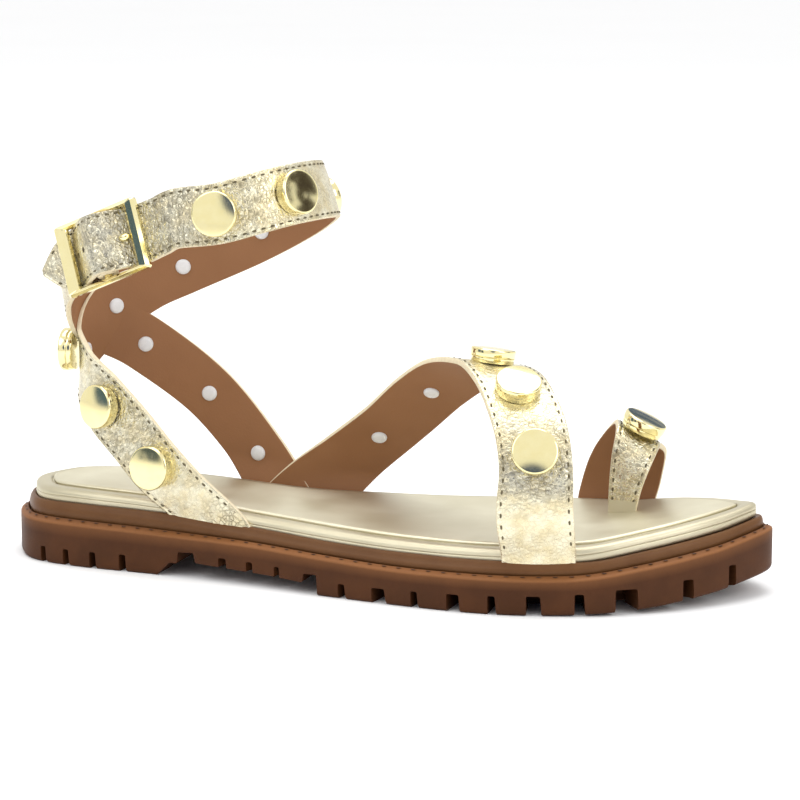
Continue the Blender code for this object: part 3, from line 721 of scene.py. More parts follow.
def buckle_frame_matrix():
    """The buckle's own directions: forward, across and outward, with its centre."""
    along, side, height = BUCKLE_PLACE
    x = along * SOLE_LENGTH - HEEL_CENTRE
    centre = Vector((x, side * BALL_WIDTH / 2, bead_top(x) + height * ANKLE_RISE))
    forward = Vector(BUCKLE_FORWARD).normalized()
    outward = Vector(BUCKLE_OUTWARD)
    outward = (outward - forward * outward.dot(forward)).normalized()
    across = outward.cross(forward)
    matrix = Matrix((forward, across, outward)).transposed().to_4x4()
    matrix.translation = centre
    return matrix


def free_end_rows():
    """The ankle strap's last run: under the side bars, over the centre bar and out to its tip."""
    place = buckle_frame_matrix()
    outward = place.col[2].xyz
    over = CENTRE_BAR / 2 + 2 * CLEARANCE + 1.5 * STRAP_THICKNESS
    under = BUCKLE_THICKNESS / 2 + CLEARANCE + STRAP_THICKNESS / 2
    rows = []
    for forward, out, share in FREE_END:
        height = out * (over if out > 0 else under)
        lift = FREE_END_LIFT if abs(forward) < 0.5 else 0.0
        centre = place @ Vector((forward * BUCKLE_SPAN, lift, height))
        rows.append((*centre, *outward, share * BAND_WIDTH))
    return rows


def sleeve_rows():
    """The short run of the second band from below the free end to the centre bar."""
    place = buckle_frame_matrix()
    outward = place.col[2].xyz
    under_bar = -(CENTRE_BAR / 2 + CLEARANCE + STRAP_THICKNESS / 2)
    under_strap = -(BUCKLE_THICKNESS / 2 + 2 * CLEARANCE + 1.5 * STRAP_THICKNESS)
    rows = []
    for forward, out in ((-0.64, under_strap * 1.28), (-0.40, under_strap * 1.04), (0.02, under_bar)):
        centre = place @ Vector((forward * BUCKLE_SPAN, 0, out))
        rows.append((*centre, *outward, BAND_WIDTH))
    return rows


def all_rows():
    return {
        "vamp": strap_rows(VAMP_ROWS, INSTEP_RISE, VAMP_WIDTH),
        "band_a": strap_rows(BAND_A_ROWS, ANKLE_RISE, BAND_WIDTH) + free_end_rows(),
        "band_b": strap_rows(BAND_B_ROWS, ANKLE_RISE, BAND_WIDTH) + sleeve_rows(),
        "toe": strap_rows(TOE_ROWS, TOE_RISE, TOE_STRAP_WIDTH),
    }


TABLES = all_rows()


def strap_frame(rows, place):
    """Centre, along, across, outward and width at a place counted in rows."""
    values = along_rows(rows, place)
    centre, outward, width = Vector(values[:3]), Vector(values[3:6]), values[6]
    step = 0.02
    ahead = Vector(along_rows(rows, min(place + step, len(rows) - 1))[:3])
    behind = Vector(along_rows(rows, max(place - step, 0))[:3])
    along = (ahead - behind).normalized()
    across = outward.cross(along).normalized()
    return centre, along, across, along.cross(across), width


def strap_path(rows, first, last, pitch):
    """Place, distance and frame at even distances along a strap's middle line."""
    count = max(int((last - first) * PLACES_PER_ROW), 2)
    places = [first + (last - first) * index / count for index in range(count + 1)]
    centres = [Vector(along_rows(rows, place)[:3]) for place in places]
    lengths = running_lengths((b - a).length for a, b in zip(centres, centres[1:]))
    found = []
    for distance, index, share in even_stops(lengths, max(round(lengths[-1] / pitch), 1)):
        place = places[index] + share * (places[index + 1] - places[index])
        found.append((place, distance, strap_frame(rows, place)))
    return found


def crinkle(across, along, seed):
    """Height of the foil's creases at a point of the strap, from about -1 to 1."""
    point = Vector((across, along * 0.8, seed * 0.01)) / CREASE_SIZE
    drift = Vector((noise.noise(point * 0.6), noise.noise(point * 0.6 + Vector((7, 3, 1))), 0))
    point += drift * 0.7
    broad = noise.noise(point * 0.55)
    ridge = 1.0 - 2.4 * abs(noise.noise(point))
    fine = 1.0 - 2.4 * abs(noise.noise(point * 2.1 + Vector((3, 9, 4))))
    return 0.45 * broad + 0.40 * ridge + 0.22 * fine


def strap_section():
    """Half of the strap's section from edge to edge: share of the flat, edge steps, height."""
    corner, half = STRAP_CORNER, STRAP_THICKNESS / 2
    line = [(-1.0, 0.0, 0.0), (-1.0, 0.0, half - corner), (-1.0, 0.30 * corner, half - 0.29 * corner)]
    for cell in range(STRAP_CELLS + 1):
        share = 2 * cell / STRAP_CELLS - 1
        line.append((share, corner * -share, half))
    line += [(1.0, -0.30 * corner, half - 0.29 * corner), (1.0, 0.0, half - corner), (1.0, 0.0, 0.0)]
    return line


def tuck(ring, point):
    """Shift that draws a strap's outer face in behind the bead's crown, fading out upwards."""
    rise = point.z - bead_top(point.x)
    if rise > TUCK_REACH:
        return Vector()
    flat = Vector((point.x, point.y))
    index = min(range(len(ring)), key=lambda i: (ring[i] - flat).length_squared)
    inward = ring_ways(ring, index)[1]
    short = TUCK_INSET - (flat - ring[index]).dot(inward)
    if short < 0:
        return Vector()
    drawn = short * (1 - smooth(0.0, TUCK_REACH, rise))
    return Vector((inward.x * drawn, inward.y * drawn, 0))


def strap_mesh(name, owner, sizes):
    """Closed strap of its whole length, crowned, creased and grooved along its seams."""
    rows = TABLES[owner]
    section = strap_section()
    seed = sorted(TABLES).index(owner) + 1
    points, layout, amounts, painted_shades = [], [], [], []
    frames = strap_path(rows, 0, len(rows) - 1, STRAP_PITCH)
    ring = sole_ring(TUCK_RING)
    for place, distance, (centre, _, across, outward, width) in frames:
        crumple = table_at(CRUMPLE[owner], place)
        # Share of painted shade that greys the foil here, stored on the points for the foil's shader
        painted_shade_share = table_at(PAINTED_SHADE[owner], place)
        for side in (1, -1):
            line = section if side > 0 else section[-2:0:-1]
            for share, inward, height in line:
                offset = share * width / 2 + inward
                rise = side * height
                if abs(height - STRAP_THICKNESS / 2) < 1e-7:
                    rise += face_relief(offset, width, distance, crumple, seed, side, sizes)
                moved = tuck(ring, centre + across * offset + outward * STRAP_THICKNESS / 2)
                points.append(centre + across * offset + outward * rise + moved)
                layout.append((offset, distance))
                amounts.append(crumple)
                painted_shades.append(painted_shade_share)
    faces, finishes = strap_faces(len(frames), len(section))
    mesh = bpy.data.meshes.new(name)
    mesh.from_pydata(points, [], faces)
    mesh.polygons.foreach_set("material_index", finishes)
    layer = mesh.uv_layers.new(name="strap")
    for loop_corner in mesh.loops:
        layer.data[loop_corner.index].uv = layout[loop_corner.vertex_index]
    for label, values in (("crumple", amounts), ("painted_shade", painted_shades)):
        mesh.attributes.new(label, "FLOAT", "POINT").data.foreach_set("value", values)
    return mesh


def strap_faces(rings, count):
    """Faces of a strap's skin and both ends with their finishes; count is the half section's."""
    loop = 2 * count - 2
    faces, finishes = [], []
    for row in range(rings - 1):
        for index in range(loop):
            after = (index + 1) % loop
            low, high = row * loop, (row + 1) * loop
            faces.append((low + index, low + after, high + after, high + index))
            finishes.append(face_finish(index, count))
    for base in (0, (rings - 1) * loop):
        for index in range(count - 1):
            corners = [index, index + 1, (loop - index - 1) % loop, (loop - index) % loop]
            faces.append([base + corner for corner in dict.fromkeys(corners)])
            finishes.append(1)
    return faces, finishes


def face_relief(offset, width, distance, crumple, seed, side, sizes):
    """Crown, seam groove and creases of a strap's outer face, or the flat lining's grain."""
    edge = width / 2 - abs(offset)
    if side < 0:
        return -GRAIN_DEPTH * noise.noise(Vector((offset, distance, seed)) / LINING_GRAIN_SIZE)
    crown = STRAP_CROWN * (1 - (2 * offset / width) ** 2)
    seam = -sizes.seam_depth * math.exp(-((edge - sizes.stitch_inset) / SEAM_SPREAD) ** 2)
    fade = smooth(*CREASE_FADE, edge)
    return crown + seam + fade * crumple * sizes.crease_depth * crinkle(offset, distance, seed)


def face_finish(index, count):
    """Foil on the outer face, the pale cut on the edges and lining behind."""
    if 2 <= index <= count - 4:
        return 0
    if count + 1 <= index <= 2 * count - 5:
        return 2
    return 1


def trim_below(mesh, heights):
    """Cut a strap's ends off level, one plane for each end: point, and height to keep above."""
    work = bmesh.new()
    work.from_mesh(mesh)
    for centre, height in heights:
        near = [v for v in work.verts if (v.co - centre).length < TRIM_REACH]
        faces = {f for v in near for f in v.link_faces}
        edges = {e for f in faces for e in f.edges}
        verts = {v for f in faces for v in f.verts}
        cut_result = bmesh.ops.bisect_plane(
            work, geom=list(verts) + list(edges) + list(faces),
            plane_co=Vector((0, 0, height)), plane_no=Vector((0, 0, 1)), clear_inner=True,
        )
        rim = [g for g in cut_result["geom_cut"] if isinstance(g, bmesh.types.BMEdge)]
        bmesh.ops.holes_fill(work, edges=[e for e in rim if e.is_boundary])
    bmesh.ops.recalc_face_normals(work, faces=work.faces)
    work.to_mesh(mesh)
    work.free()


def end_height(rows, index):
    """Centre of a strap's end, and the level just above the bead where it is cut off."""
    centre = Vector(rows[index][:3])
    return centre, bead_top(centre.x) + END_GAP


# Node trees

class Wire:
    """A node's output that plain arithmetic works on, adding the Math nodes it needs."""

    def __init__(self, graph, socket):
        self.graph = graph
        self.socket = socket

    def math(self, operation, *values):
        return self.graph.node("ShaderNodeMath", {"operation": operation}, dict(enumerate(values)))

    def __add__(self, other):
        return self.math("ADD", self, other)

    def __radd__(self, other):
        return self.math("ADD", other, self)

    def __sub__(self, other):
        return self.math("SUBTRACT", self, other)

    def __rsub__(self, other):
        return self.math("SUBTRACT", other, self)

    def __mul__(self, other):
        return self.math("MULTIPLY", self, other)

    def __rmul__(self, other):
        return self.math("MULTIPLY", other, self)

    def step(self, low, high):
        """Soft step from 0 at low to 1 at high."""
        return self.graph.node(
            "ShaderNodeMapRange", {"interpolation_type": "SMOOTHSTEP"},
            {"Value": self, "From Min": low, "From Max": high},
        )


class Graph:
    """Builds a node tree with one method for every kind of node."""

    def __init__(self, tree):
        self.tree = tree

    def node(self, kind, settings=None, sockets=None, output=0):
        item = self.tree.nodes.new(kind)
        for name, value in (settings or {}).items():
            setattr(item, name, value)
        for key, value in (sockets or {}).items():
            self.feed(item.inputs[key], value)
        return Wire(self, item.outputs[output])

    def feed(self, socket, value):
        if isinstance(value, Wire):
            self.tree.links.new(value.socket, socket)
        else:
            socket.default_value = value

    def mix(self, factor, low, high):
        """Colour between low and high, each a wire or three numbers."""
        low, high = (side if isinstance(side, Wire) else (*side, 1.0) for side in (low, high))
        return self.node(
            "ShaderNodeMix", {"data_type": "RGBA"}, {0: factor, 6: low, 7: high}, output=2,
        )

    def stretch(self, vector, scale):
        return self.node("ShaderNodeVectorMath", {"operation": "MULTIPLY"}, {0: vector, 1: scale})

    def shift(self, vector, other):
        return self.node("ShaderNodeVectorMath", {"operation": "ADD"}, {0: vector, 1: other})

    def noise(self, vector, size, detail=2.0, rough=0.5, output=0):
        """Noise with features of the given size in metres."""
        return self.node(
            "ShaderNodeTexNoise", {},
            {"Vector": vector, "Scale": 1 / size, "Detail": detail, "Roughness": rough},
            output=output,
        )

    def cells(self, vector, size, feature="F1"):
        return self.node(
            "ShaderNodeTexVoronoi", {"feature": feature},
            {"Vector": vector, "Scale": 1 / size, "Randomness": 1.0},
        )

    def cell_tone(self, vector, size):
        """One random number for every cell of the given size."""
        tint = self.node("ShaderNodeTexVoronoi", {}, {"Vector": vector, "Scale": 1 / size}, output="Color")
        return self.node("ShaderNodeSeparateColor", {}, {0: tint})

    def place(self):
        return self.node("ShaderNodeTexCoord", output="Object")

    def strap_place(self):
        return self.node("ShaderNodeUVMap", {"uv_map": "strap"})

    def attribute(self, name):
        return self.node("ShaderNodeAttribute", {"attribute_name": name}, output="Fac")

    def direction(self, name):
        """Named vector attribute of the points, in a Geometry Nodes tree."""
        return self.node(
            "GeometryNodeInputNamedAttribute", {"data_type": "FLOAT_VECTOR"}, {"Name": name},
        )


def finish(name, build, **constants):
    """A material from a function of a graph and the colours that wires its shader, made once."""
    known = bpy.data.materials.get(name)
    if known:
        return known
    material = bpy.data.materials.new(name)
    material.use_nodes = True
    shader = material.node_tree.nodes["Principled BSDF"]
    for key, value in constants.items():
        shader.inputs[key.replace("_", " ")].default_value = value
    graph = Graph(material.node_tree)
    for key, value in build(graph, bpy.context.scene.sandal_colours).items():
        graph.feed(shader.inputs[key.replace("_", " ")], value)
    return material


def made_once(name, **constants):
    """Turn a function that wires a shader into one that gives its finished material."""
    return lambda build: lambda: finish(name, build, **constants)


def bump(graph, height, depth):
    """Bump of the given depth in metres."""
    return graph.node("ShaderNodeBump", {}, {"Height": height, "Distance": depth, "Strength": 1.0})


# Finishes

def adjuster_holes():
    """Where the free end's holes lie in the strap's own layout: across, along."""
    rows = TABLES["band_a"]
    frames = strap_path(rows, 0, len(rows) - 1, STRAP_PITCH)
    spots = []
    for forward in HOLE_PLACES:
        wanted = buckle_frame_matrix() @ Vector((forward * BUCKLE_SPAN, 0, 0))
        nearest = min(frames, key=lambda frame: (frame[2][0] - wanted).length)
        spots.append((0.0, nearest[1], 0.0))
    return spots


@made_once("crinkled_foil", Metallic=0.93)
def foil_leather(graph, colours):
    """Metallic foil: crumpled cells, painted shade in the creases and on some stretches, and the adjuster
    holes painted dark.
    """
    place = graph.strap_place()
    crumple = graph.attribute("crumple")
    drift = graph.noise(place, 0.0024, 3.0, 0.6, output="Color")
    bent = graph.shift(place, graph.stretch(drift, (0.0017, 0.0021, 0.0)))
    wide = graph.stretch(bent, (0.75, 1.0, 1.0))
    domes = graph.cells(wide, FOIL_CELL)
    edges = 1.0 - graph.cells(wide, FOIL_CELL, "DISTANCE_TO_EDGE").step(0.0, 0.16)
    shown = graph.noise(place, 0.0050, 2.0).step(0.30, 0.60)
    facet = graph.cell_tone(wide, FOIL_CELL)
    broad = graph.noise(bent, 0.0021, 3.0, 0.55)
    middle = graph.noise(wide, 0.00085, 2.0, 0.5)
    streak = graph.noise(graph.stretch(place, (1.0, 0.16, 1.0)), 0.0008, 3.0, 0.6)
    creases = crumple * edges * (0.25 + 0.75 * shown)
    height = crumple * (0.9 * broad + 0.5 * middle - 0.8 * domes) - 0.35 * creases + 0.20 * streak
    patch = graph.noise(place, 0.0065, 3.0, 0.55).step(0.36, 0.66)
    base = graph.mix(patch, colours.foil, colours.foil_pale)
    # Painted shade: the foil turns grey where the strap's painted shade share says, more on some cells
    painted_shade_share = graph.attribute("painted_shade") * (0.45 + 0.85 * facet)
    base = graph.mix(painted_shade_share, base, colours.foil_painted_shade)
    # Painted shade: the foil darkens along the edges of its crumpled cells and on some cells, more where it
    # is crumpled
    dark = crumple * (0.62 * edges * shown + 0.26 * facet.step(0.66, 0.98) * broad.step(0.30, 0.55))
    base = graph.mix(dark, base, colours.foil_crease_shade)
    # Painted shade: dark spots stand for the adjuster holes, which the mesh doesn't cut
    for spot in adjuster_holes():
        away = graph.node(
            "ShaderNodeVectorMath", {"operation": "DISTANCE"}, {0: place, 1: spot}, output="Value",
        )
        base = graph.mix(away.step(HOLE_RADIUS, 0.8 * HOLE_RADIUS), base, colours.hole_shade)
    rough = 0.20 + 0.14 * graph.noise(place, 0.0013, 3.0, 0.6) + 0.12 * creases
    return {"Base_Color": base, "Roughness": rough, "Normal": bump(graph, height, 0.00031)}


@made_once("cut_edge", Roughness=0.62)
def cut_edge(graph, colours):
    """Pale cut edge of the leather."""
    patch = graph.noise(graph.place(), 0.0012, 3.0, 0.6)
    base = graph.mix(patch, colours.cut_edge, colours.cut_edge_dark)
    return {"Base_Color": base, "Normal": bump(graph, patch, 0.00006)}


@made_once("lining_leather", Specular_IOR_Level=0.18)
def lining_leather(graph, colours):
    """Brown lining with a fine grain and darker pores."""
    place = graph.strap_place()
    grain = graph.cells(place, 0.00075)
    pores = graph.noise(place, 0.00028, 2.0, 0.6)
    patch = graph.noise(place, 0.020, 2.0, 0.5)
    base = graph.mix(patch, colours.lining, colours.lining_dark)
    base = graph.mix(0.20 * pores, base, colours.lining_pore)
    normal = bump(graph, 0.6 * grain + 0.4 * pores, 0.00004)
    return {"Base_Color": base, "Roughness": 0.50 + 0.12 * pores, "Normal": normal}


# Thread colour is partly painted shade: near-black brown so the stitches also stand for their shadowed holes
@made_once("thread", Roughness=0.55)
def thread(graph, colours):
    twist = graph.noise(graph.place(), 0.0004, 2.0)
    return {"Base_Color": graph.mix(twist, colours.thread, colours.thread_pale)}


def gum_rubber(name, colour, gloss, shine):
    """Specked rubber in one of the panel's colours, lighter where a painted highlight lies."""
    def build(graph, colours):
        place = graph.place()
        patch = graph.noise(place, 0.016, 3.0, 0.55)
        speck = graph.noise(place, 0.0007, 3.0, 0.6)
        pale, dark = getattr(colours, colour), getattr(colours, colour + "_dark")
        base = graph.mix(patch.step(0.30, 0.72), pale, dark)
        # Painted highlight: lighter colour on the rim's top edge and faintly over the bead
        base = graph.mix(graph.attribute("painted_highlight") * 0.75, base, colours.rubber_highlight)
        base = graph.mix(0.14 * speck, base, colours.rubber_speck)
        rough = gloss + 0.14 * speck + 0.06 * patch
        return {"Base_Color": base, "Roughness": rough, "Normal": bump(graph, speck, 0.00004)}

    return finish(name, build, Specular_IOR_Level=shine)


# Painted shade: the moulded marks are coloured far darker than the rubber they are moulded in
@made_once("moulded_mark_shade", Roughness=0.55)
def moulded_mark_shade(graph, colours):
    speck = graph.noise(graph.place(), 0.0006, 2.0)
    return {"Base_Color": graph.mix(speck, colours.mark, colours.rim_mark_shade_pale)}


def footbed_foil(name, colour, wear):
    """Smooth metallic leather with a fine grain and long faint lines."""
    def build(graph, colours):
        place = graph.place()
        patch = graph.noise(place, 0.028, 3.0, 0.5).step(0.32, 0.70)
        base = graph.mix(patch, getattr(colours, colour), getattr(colours, colour + "_pale"))
        grain = graph.cells(place, 0.0006)
        fine = graph.noise(place, 0.00022, 2.0, 0.6)
        long_lines = graph.noise(graph.stretch(place, (0.35, 1.0, 1.0)), 0.004, 4.0, 0.6)
        height = 0.5 * grain + 0.35 * fine + wear * long_lines
        rough = 0.36 + 0.08 * patch + 0.08 * fine
        return {"Base_Color": base, "Roughness": rough, "Normal": bump(graph, height, 0.00003)}

    return finish(name, build, Metallic=0.82)


@made_once("pale_gold", Metallic=1.0)
def pale_gold(graph, colours):
    """Polished plating with a slight haze and hairline scratches."""
    place = graph.place()
    haze = graph.noise(place, 0.0035, 3.0, 0.6)
    scratch = graph.noise(graph.stretch(place, (1.0, 1.0, 0.12)), 0.00035, 3.0, 0.7)
    base = graph.mix(haze, colours.gold, colours.gold_pale)
    rough = 0.07 + 0.07 * haze + 0.05 * scratch.step(0.55, 0.75)
    return {"Base_Color": base, "Roughness": rough, "Normal": bump(graph, scratch, 0.000004)}


@made_once("rivet_back")
def rivet_back(graph, colours):
    haze = graph.noise(graph.place(), 0.0016, 2.0)
    base = graph.mix(haze, colours.rivet, colours.rivet_dark)
    return {"Base_Color": base, "Roughness": 0.22 + 0.12 * haze}


@made_once("floor", Roughness=0.9, Specular_IOR_Level=0.1)
def plain_floor(graph, colours):
    haze = graph.noise(graph.place(), 0.4, 2.0)
    return {"Base_Color": graph.mix(haze, colours.floor, colours.floor_pale)}


# Geometry Nodes

def tree_with(name, inputs):
    """Empty Geometry Nodes tree with named inputs: its graph and its input wires."""
    tree = bpy.data.node_groups.new(name, "GeometryNodeTree")
    tree.interface.new_socket(name="Geometry", in_out="OUTPUT", socket_type="NodeSocketGeometry")
    tree.interface.new_socket(name="Geometry", in_out="INPUT", socket_type="NodeSocketGeometry")
    for socket_name, kind in inputs:
        tree.interface.new_socket(name=socket_name, in_out="INPUT", socket_type=kind)
    graph = Graph(tree)
    entry = tree.nodes.new("NodeGroupInput")
    wires = {output.name: Wire(graph, output) for output in entry.outputs if output.name}
    return graph, wires


def end_tree(graph, points, copy, along, material):
    """Copies on the points, turned to their outward direction and another, in one material."""
    turn = graph.node(
        "FunctionNodeAxesToRotation", {"primary_axis": "Z", "secondary_axis": "X"},
        {"Primary Axis": graph.direction("outward"), "Secondary Axis": along},
    )
    copies = graph.node(
        "GeometryNodeInstanceOnPoints", {}, {"Points": points, "Instance": copy, "Rotation": turn},
    )
    whole = graph.node("GeometryNodeRealizeInstances", {}, {"Geometry": copies})
    dressed = graph.node("GeometryNodeSetMaterial", {}, {"Geometry": whole, "Material": material})
    leave = graph.tree.nodes.new("NodeGroupOutput")
    graph.feed(leave.inputs[0], dressed)
    return graph.tree


def stitch_tree():
    """Short rounded stitches at an even pitch along lines that carry an outward direction."""
    known = bpy.data.node_groups.get("Stitches Along Lines")
    if known:
        return known
    number = "NodeSocketFloat"
    graph, wires = tree_with("Stitches Along Lines", (
        ("Pitch", number), ("Length", number), ("Width", number), ("Height", number),
        ("Material", "NodeSocketMaterial"),
    ))
    line = graph.node("GeometryNodeMeshToCurve", {}, {"Mesh": wires["Geometry"]})
    spread = graph.node(
        "GeometryNodeResampleCurve", {"mode": "LENGTH"}, {"Curve": line, "Length": wires["Pitch"]},
    )
    grain = graph.node("GeometryNodeMeshUVSphere", {}, {"Segments": 8, "Rings": 6, "Radius": 0.5})
    size = graph.node(
        "ShaderNodeCombineXYZ", {}, {0: wires["Length"], 1: wires["Width"], 2: wires["Height"]},
    )
    shaped = graph.node("GeometryNodeTransform", {}, {"Geometry": grain, "Scale": size})
    smooth_grain = graph.node("GeometryNodeSetShadeSmooth", {}, {"Geometry": shaped})
    tangent = graph.node("GeometryNodeInputTangent")
    return end_tree(graph, spread, smooth_grain, tangent, wires["Material"])


def seat_tree():
    """One copy of an object on every point, turned to the point's own directions."""
    known = bpy.data.node_groups.get("Copies On Points")
    if known:
        return known
    graph, wires = tree_with("Copies On Points", (
        ("Copy", "NodeSocketObject"), ("Material", "NodeSocketMaterial"),
    ))
    seed = graph.node("GeometryNodeObjectInfo", {}, {"Object": wires["Copy"]}, output="Geometry")
    return end_tree(graph, wires["Geometry"], seed, graph.direction("along"), wires["Material"])


def run_tree(item, tree, values):
    """Run a tree on an object and keep what it makes as the object's plain mesh."""
    modifier = item.modifiers.new(tree.name, "NODES")
    modifier.node_group = tree
    for socket in tree.interface.items_tree:
        if socket.in_out == "INPUT" and socket.name in values:
            modifier[socket.identifier] = values[socket.name]
    bake(item)


def line_object(name, lines):
    """Edges along each line of (point, outward), with the outward direction on each point."""
    points, directions, edges = [], [], []
    for line in lines:
        start = len(points)
        points += [point for point, _ in line]
        directions += [direction for _, direction in line]
        edges += [(index, index + 1) for index in range(start, len(points) - 1)]
    mesh = bpy.data.meshes.new(name)
    mesh.from_pydata(points, edges, [])
    flat = [value for direction in directions for value in direction]
    mesh.attributes.new("outward", "FLOAT_VECTOR", "POINT").data.foreach_set("vector", flat)
    return add_object(name, mesh)


def stitch_lines(owner, first, last, inset):
    """Both seam lines of a strap between two places, on its crowned face."""
    lines = ([], [])
    ring = sole_ring(TUCK_RING)
    sunk = 0.00002
    for _, _, (centre, _, across, outward, width) in strap_path(
            TABLES[owner], first, last, 4 * STRAP_PITCH):
        lift = STRAP_THICKNESS / 2 + STRAP_CROWN * (1 - (1 - 2 * inset / width) ** 2) - sunk
        for line, side in zip(lines, (-1, 1)):
            offset = side * (width / 2 - inset)
            point = centre + across * offset + outward * lift
            point += tuck(ring, point)
            if point.z > bead_top(point.x) + STITCH_CLEAR:
                line.append((point, outward))
    return lines


def seat_points(name, seats):
    """Loose points that carry outward and along directions."""
    mesh = bpy.data.meshes.new(name)
    mesh.from_pydata([seat[0] for seat in seats], [], [])
    for column, label in ((1, "outward"), (2, "along")):
        flat = [value for seat in seats for value in seat[column]]
        mesh.attributes.new(label, "FLOAT_VECTOR", "POINT").data.foreach_set("vector", flat)
    return add_object(name, mesh)


# Sole

def arch_cutter():
    work = bmesh.new()
    flat = [Vector((along * SOLE_LENGTH - HEEL_CENTRE, height * LUG_HEIGHT))
            for along, height in ARCH_PROFILE]
    corners = [Vector((p.x, -BALL_WIDTH, p.y)) for p in rounded_corners(flat, ARCH_CORNER)]
    prism(work, corners, Vector((0, 2 * BALL_WIDTH, 0)))
    return add_object("arch_cutter", close_mesh("arch_cutter", work))


def slot_cutter():
    """Wedges between the lugs: upright rear wall, slanted front wall."""
    ring = sole_ring()
    work = bmesh.new()
    for along, top, bottom, roof in SLOTS:
        for side, (point, ahead, inward) in zip((1, -1), side_place(ring, along)):
            forward = ahead * side
            ceiling, floor = roof * LUG_HEIGHT, -LUG_HEIGHT
            start = point - inward * LUG_REACH * 0.4
            flat = [
                Vector((-bottom / 2 * SLOT_PITCH, floor)), Vector((-bottom / 2 * SLOT_PITCH, ceiling)),
                Vector(((top - bottom / 2) * SLOT_PITCH, ceiling)), Vector((bottom / 2 * SLOT_PITCH, floor)),
            ]
            corners = [
                Vector((*(start + forward * p.x), p.y + tread(point.x)))
                for p in rounded_corners(flat, SLOT_CORNER)
            ]
            prism(work, corners, Vector((*(inward * (1.4 * LUG_REACH + 0.5 * CHANNEL_WIDTH)), 0)))
    return add_object("slot_cutter", close_mesh("slot_cutter", work))


def channel_cutter():
    """Shallow channel that parts the edge lugs from the middle of the tread."""
    ring = sole_ring(CHANNEL_RING)
    outer = inset_ring(ring, LUG_REACH)
    inner = inset_ring(ring, LUG_REACH + CHANNEL_WIDTH)
    work = bmesh.new()
    layers = []
    for points, height in (
        (outer, -CHANNEL_DEPTH), (outer, CHANNEL_DEPTH), (inner, CHANNEL_DEPTH), (inner, -CHANNEL_DEPTH),
    ):
        layers.append([work.verts.new((p.x, p.y, tread(p.x) + height)) for p in points])
    bridge(work, layers + layers[:1])
    return add_object("channel_cutter", close_mesh("channel_cutter", work))


def rim_slope(x):
    """Height that the rim's top gains from its outer edge to the groove."""
    return RIM_BEVEL * (bead_top(x) - rim_top(x))


def mark_painted_highlight(mesh, rule):
    """Store how much painted highlight each point takes, from a rule of its place."""
    amounts = [rule(vertex.co) for vertex in mesh.vertices]
    mesh.attributes.new("painted_highlight", "FLOAT", "POINT").data.foreach_set("value", amounts)


def outsole_levels():
    """Rounded foot, upright side, rounded shoulder and bevelled rim, down into the groove."""
    foot, foot_reach, shoulder = 0.0016, 0.0012, 0.0010
    levels = []
    for angle in quarter_turn(4):
        inset, rise = foot_reach * (1 - math.sin(angle)), foot * (1 - math.cos(angle))
        levels.append((inset, lambda x, rise=rise: tread(x) + rise))
    for share in (0.35, 0.7, 1.0):
        levels.append((0.0, lambda x, share=share: (
            tread(x) + foot + share * (rim_top(x) - shoulder - tread(x) - foot))))
    for angle in quarter_turn(5, 1):
        inset, drop = shoulder * (1 - math.cos(angle)), shoulder * (1 - math.sin(angle))
        levels.append((inset, lambda x, drop=drop: rim_top(x) - drop))
    for beyond, share in ((-0.0003, 0.92), (0.0, 0.90), (0.0003, 0.45)):
        levels.append((RIM_WIDTH + beyond, lambda x, share=share: rim_top(x) + share * rim_slope(x)))
    levels.append((RIM_WIDTH + 0.0007, lambda x: rim_top(x) - GROOVE_DEPTH))
    return levels


def bead_levels():
    """Round bead from the groove to under the footbed, with a crown that hides the straps' ends."""
    levels = [(BEAD_INSET + LAP, lambda x: rim_top(x) - GROOVE_DEPTH + CLEARANCE)]
    for inset, share in ((0.00035, 0.10), (0.00012, 0.26), (0.0, 0.44), (0.00004, 0.60),
                         (0.00018, 0.76), (0.00042, 0.91), (0.00075, 1.02)):
        levels.append((
            BEAD_INSET + inset, lambda x, share=share: rim_top(x) + share * (bead_top(x) - rim_top(x)),
        ))
    for inset, share in ((0.00095, 0.58), (0.00125, 0.86), (0.0016, 1.0), (0.00195, 0.97), (0.00218, 0.7)):
        levels.append((
            BEAD_INSET + inset, lambda x, share=share: bead_top(x) + share * table_at(BEAD_CROWN, x),
        ))
    levels.append((FOOTBED_INSET + LAP, bead_top))
    return levels


def footbed_levels():
    """Wrapped edge: tucked foot, upright side, thin seam line and a rolled top."""
    levels = []
    for inset, share in ((LAP, 0.0), (0.0002, 0.06), (0.0, 0.16), (0.0, 0.40),
                         (0.00004, 0.46), (0.00022, 0.49), (0.00004, 0.52)):
        levels.append((FOOTBED_INSET + inset, footbed_level(share)))
    reach = 0.0024
    for angle in quarter_turn(8, 1):
        inset = reach * (1 - math.cos(angle)) ** 1.15
        share = 0.55 + 0.45 * math.sin(angle) ** 0.95
        levels.append((FOOTBED_INSET + inset, footbed_level(share)))
    levels += [
        (SOCK_INSET - 0.0016, footbed_level(1.0)),
        (SOCK_INSET - 0.0012, footbed_level(1.0, -0.0001)),
        (SOCK_INSET - 0.0007, footbed_level(1.0, -SOCK_RECESS)),
    ]
    return levels


def sock_surface(x, y):
    """Top of the sock: flat, with soft ripples and a fine unevenness."""
    base = footbed_level(1.0, CLEARANCE - SOCK_RECESS + SOCK_THICKNESS)(x)
    ripple = RIPPLE_DEPTH * noise.noise(Vector((x, y * 0.7, 0.3)) / RIPPLE_SIZE)
    fine = GRAIN_DEPTH * noise.noise(Vector((x, y, 1.7)) / SOCK_GRAIN_SIZE)
    return base + ripple + fine


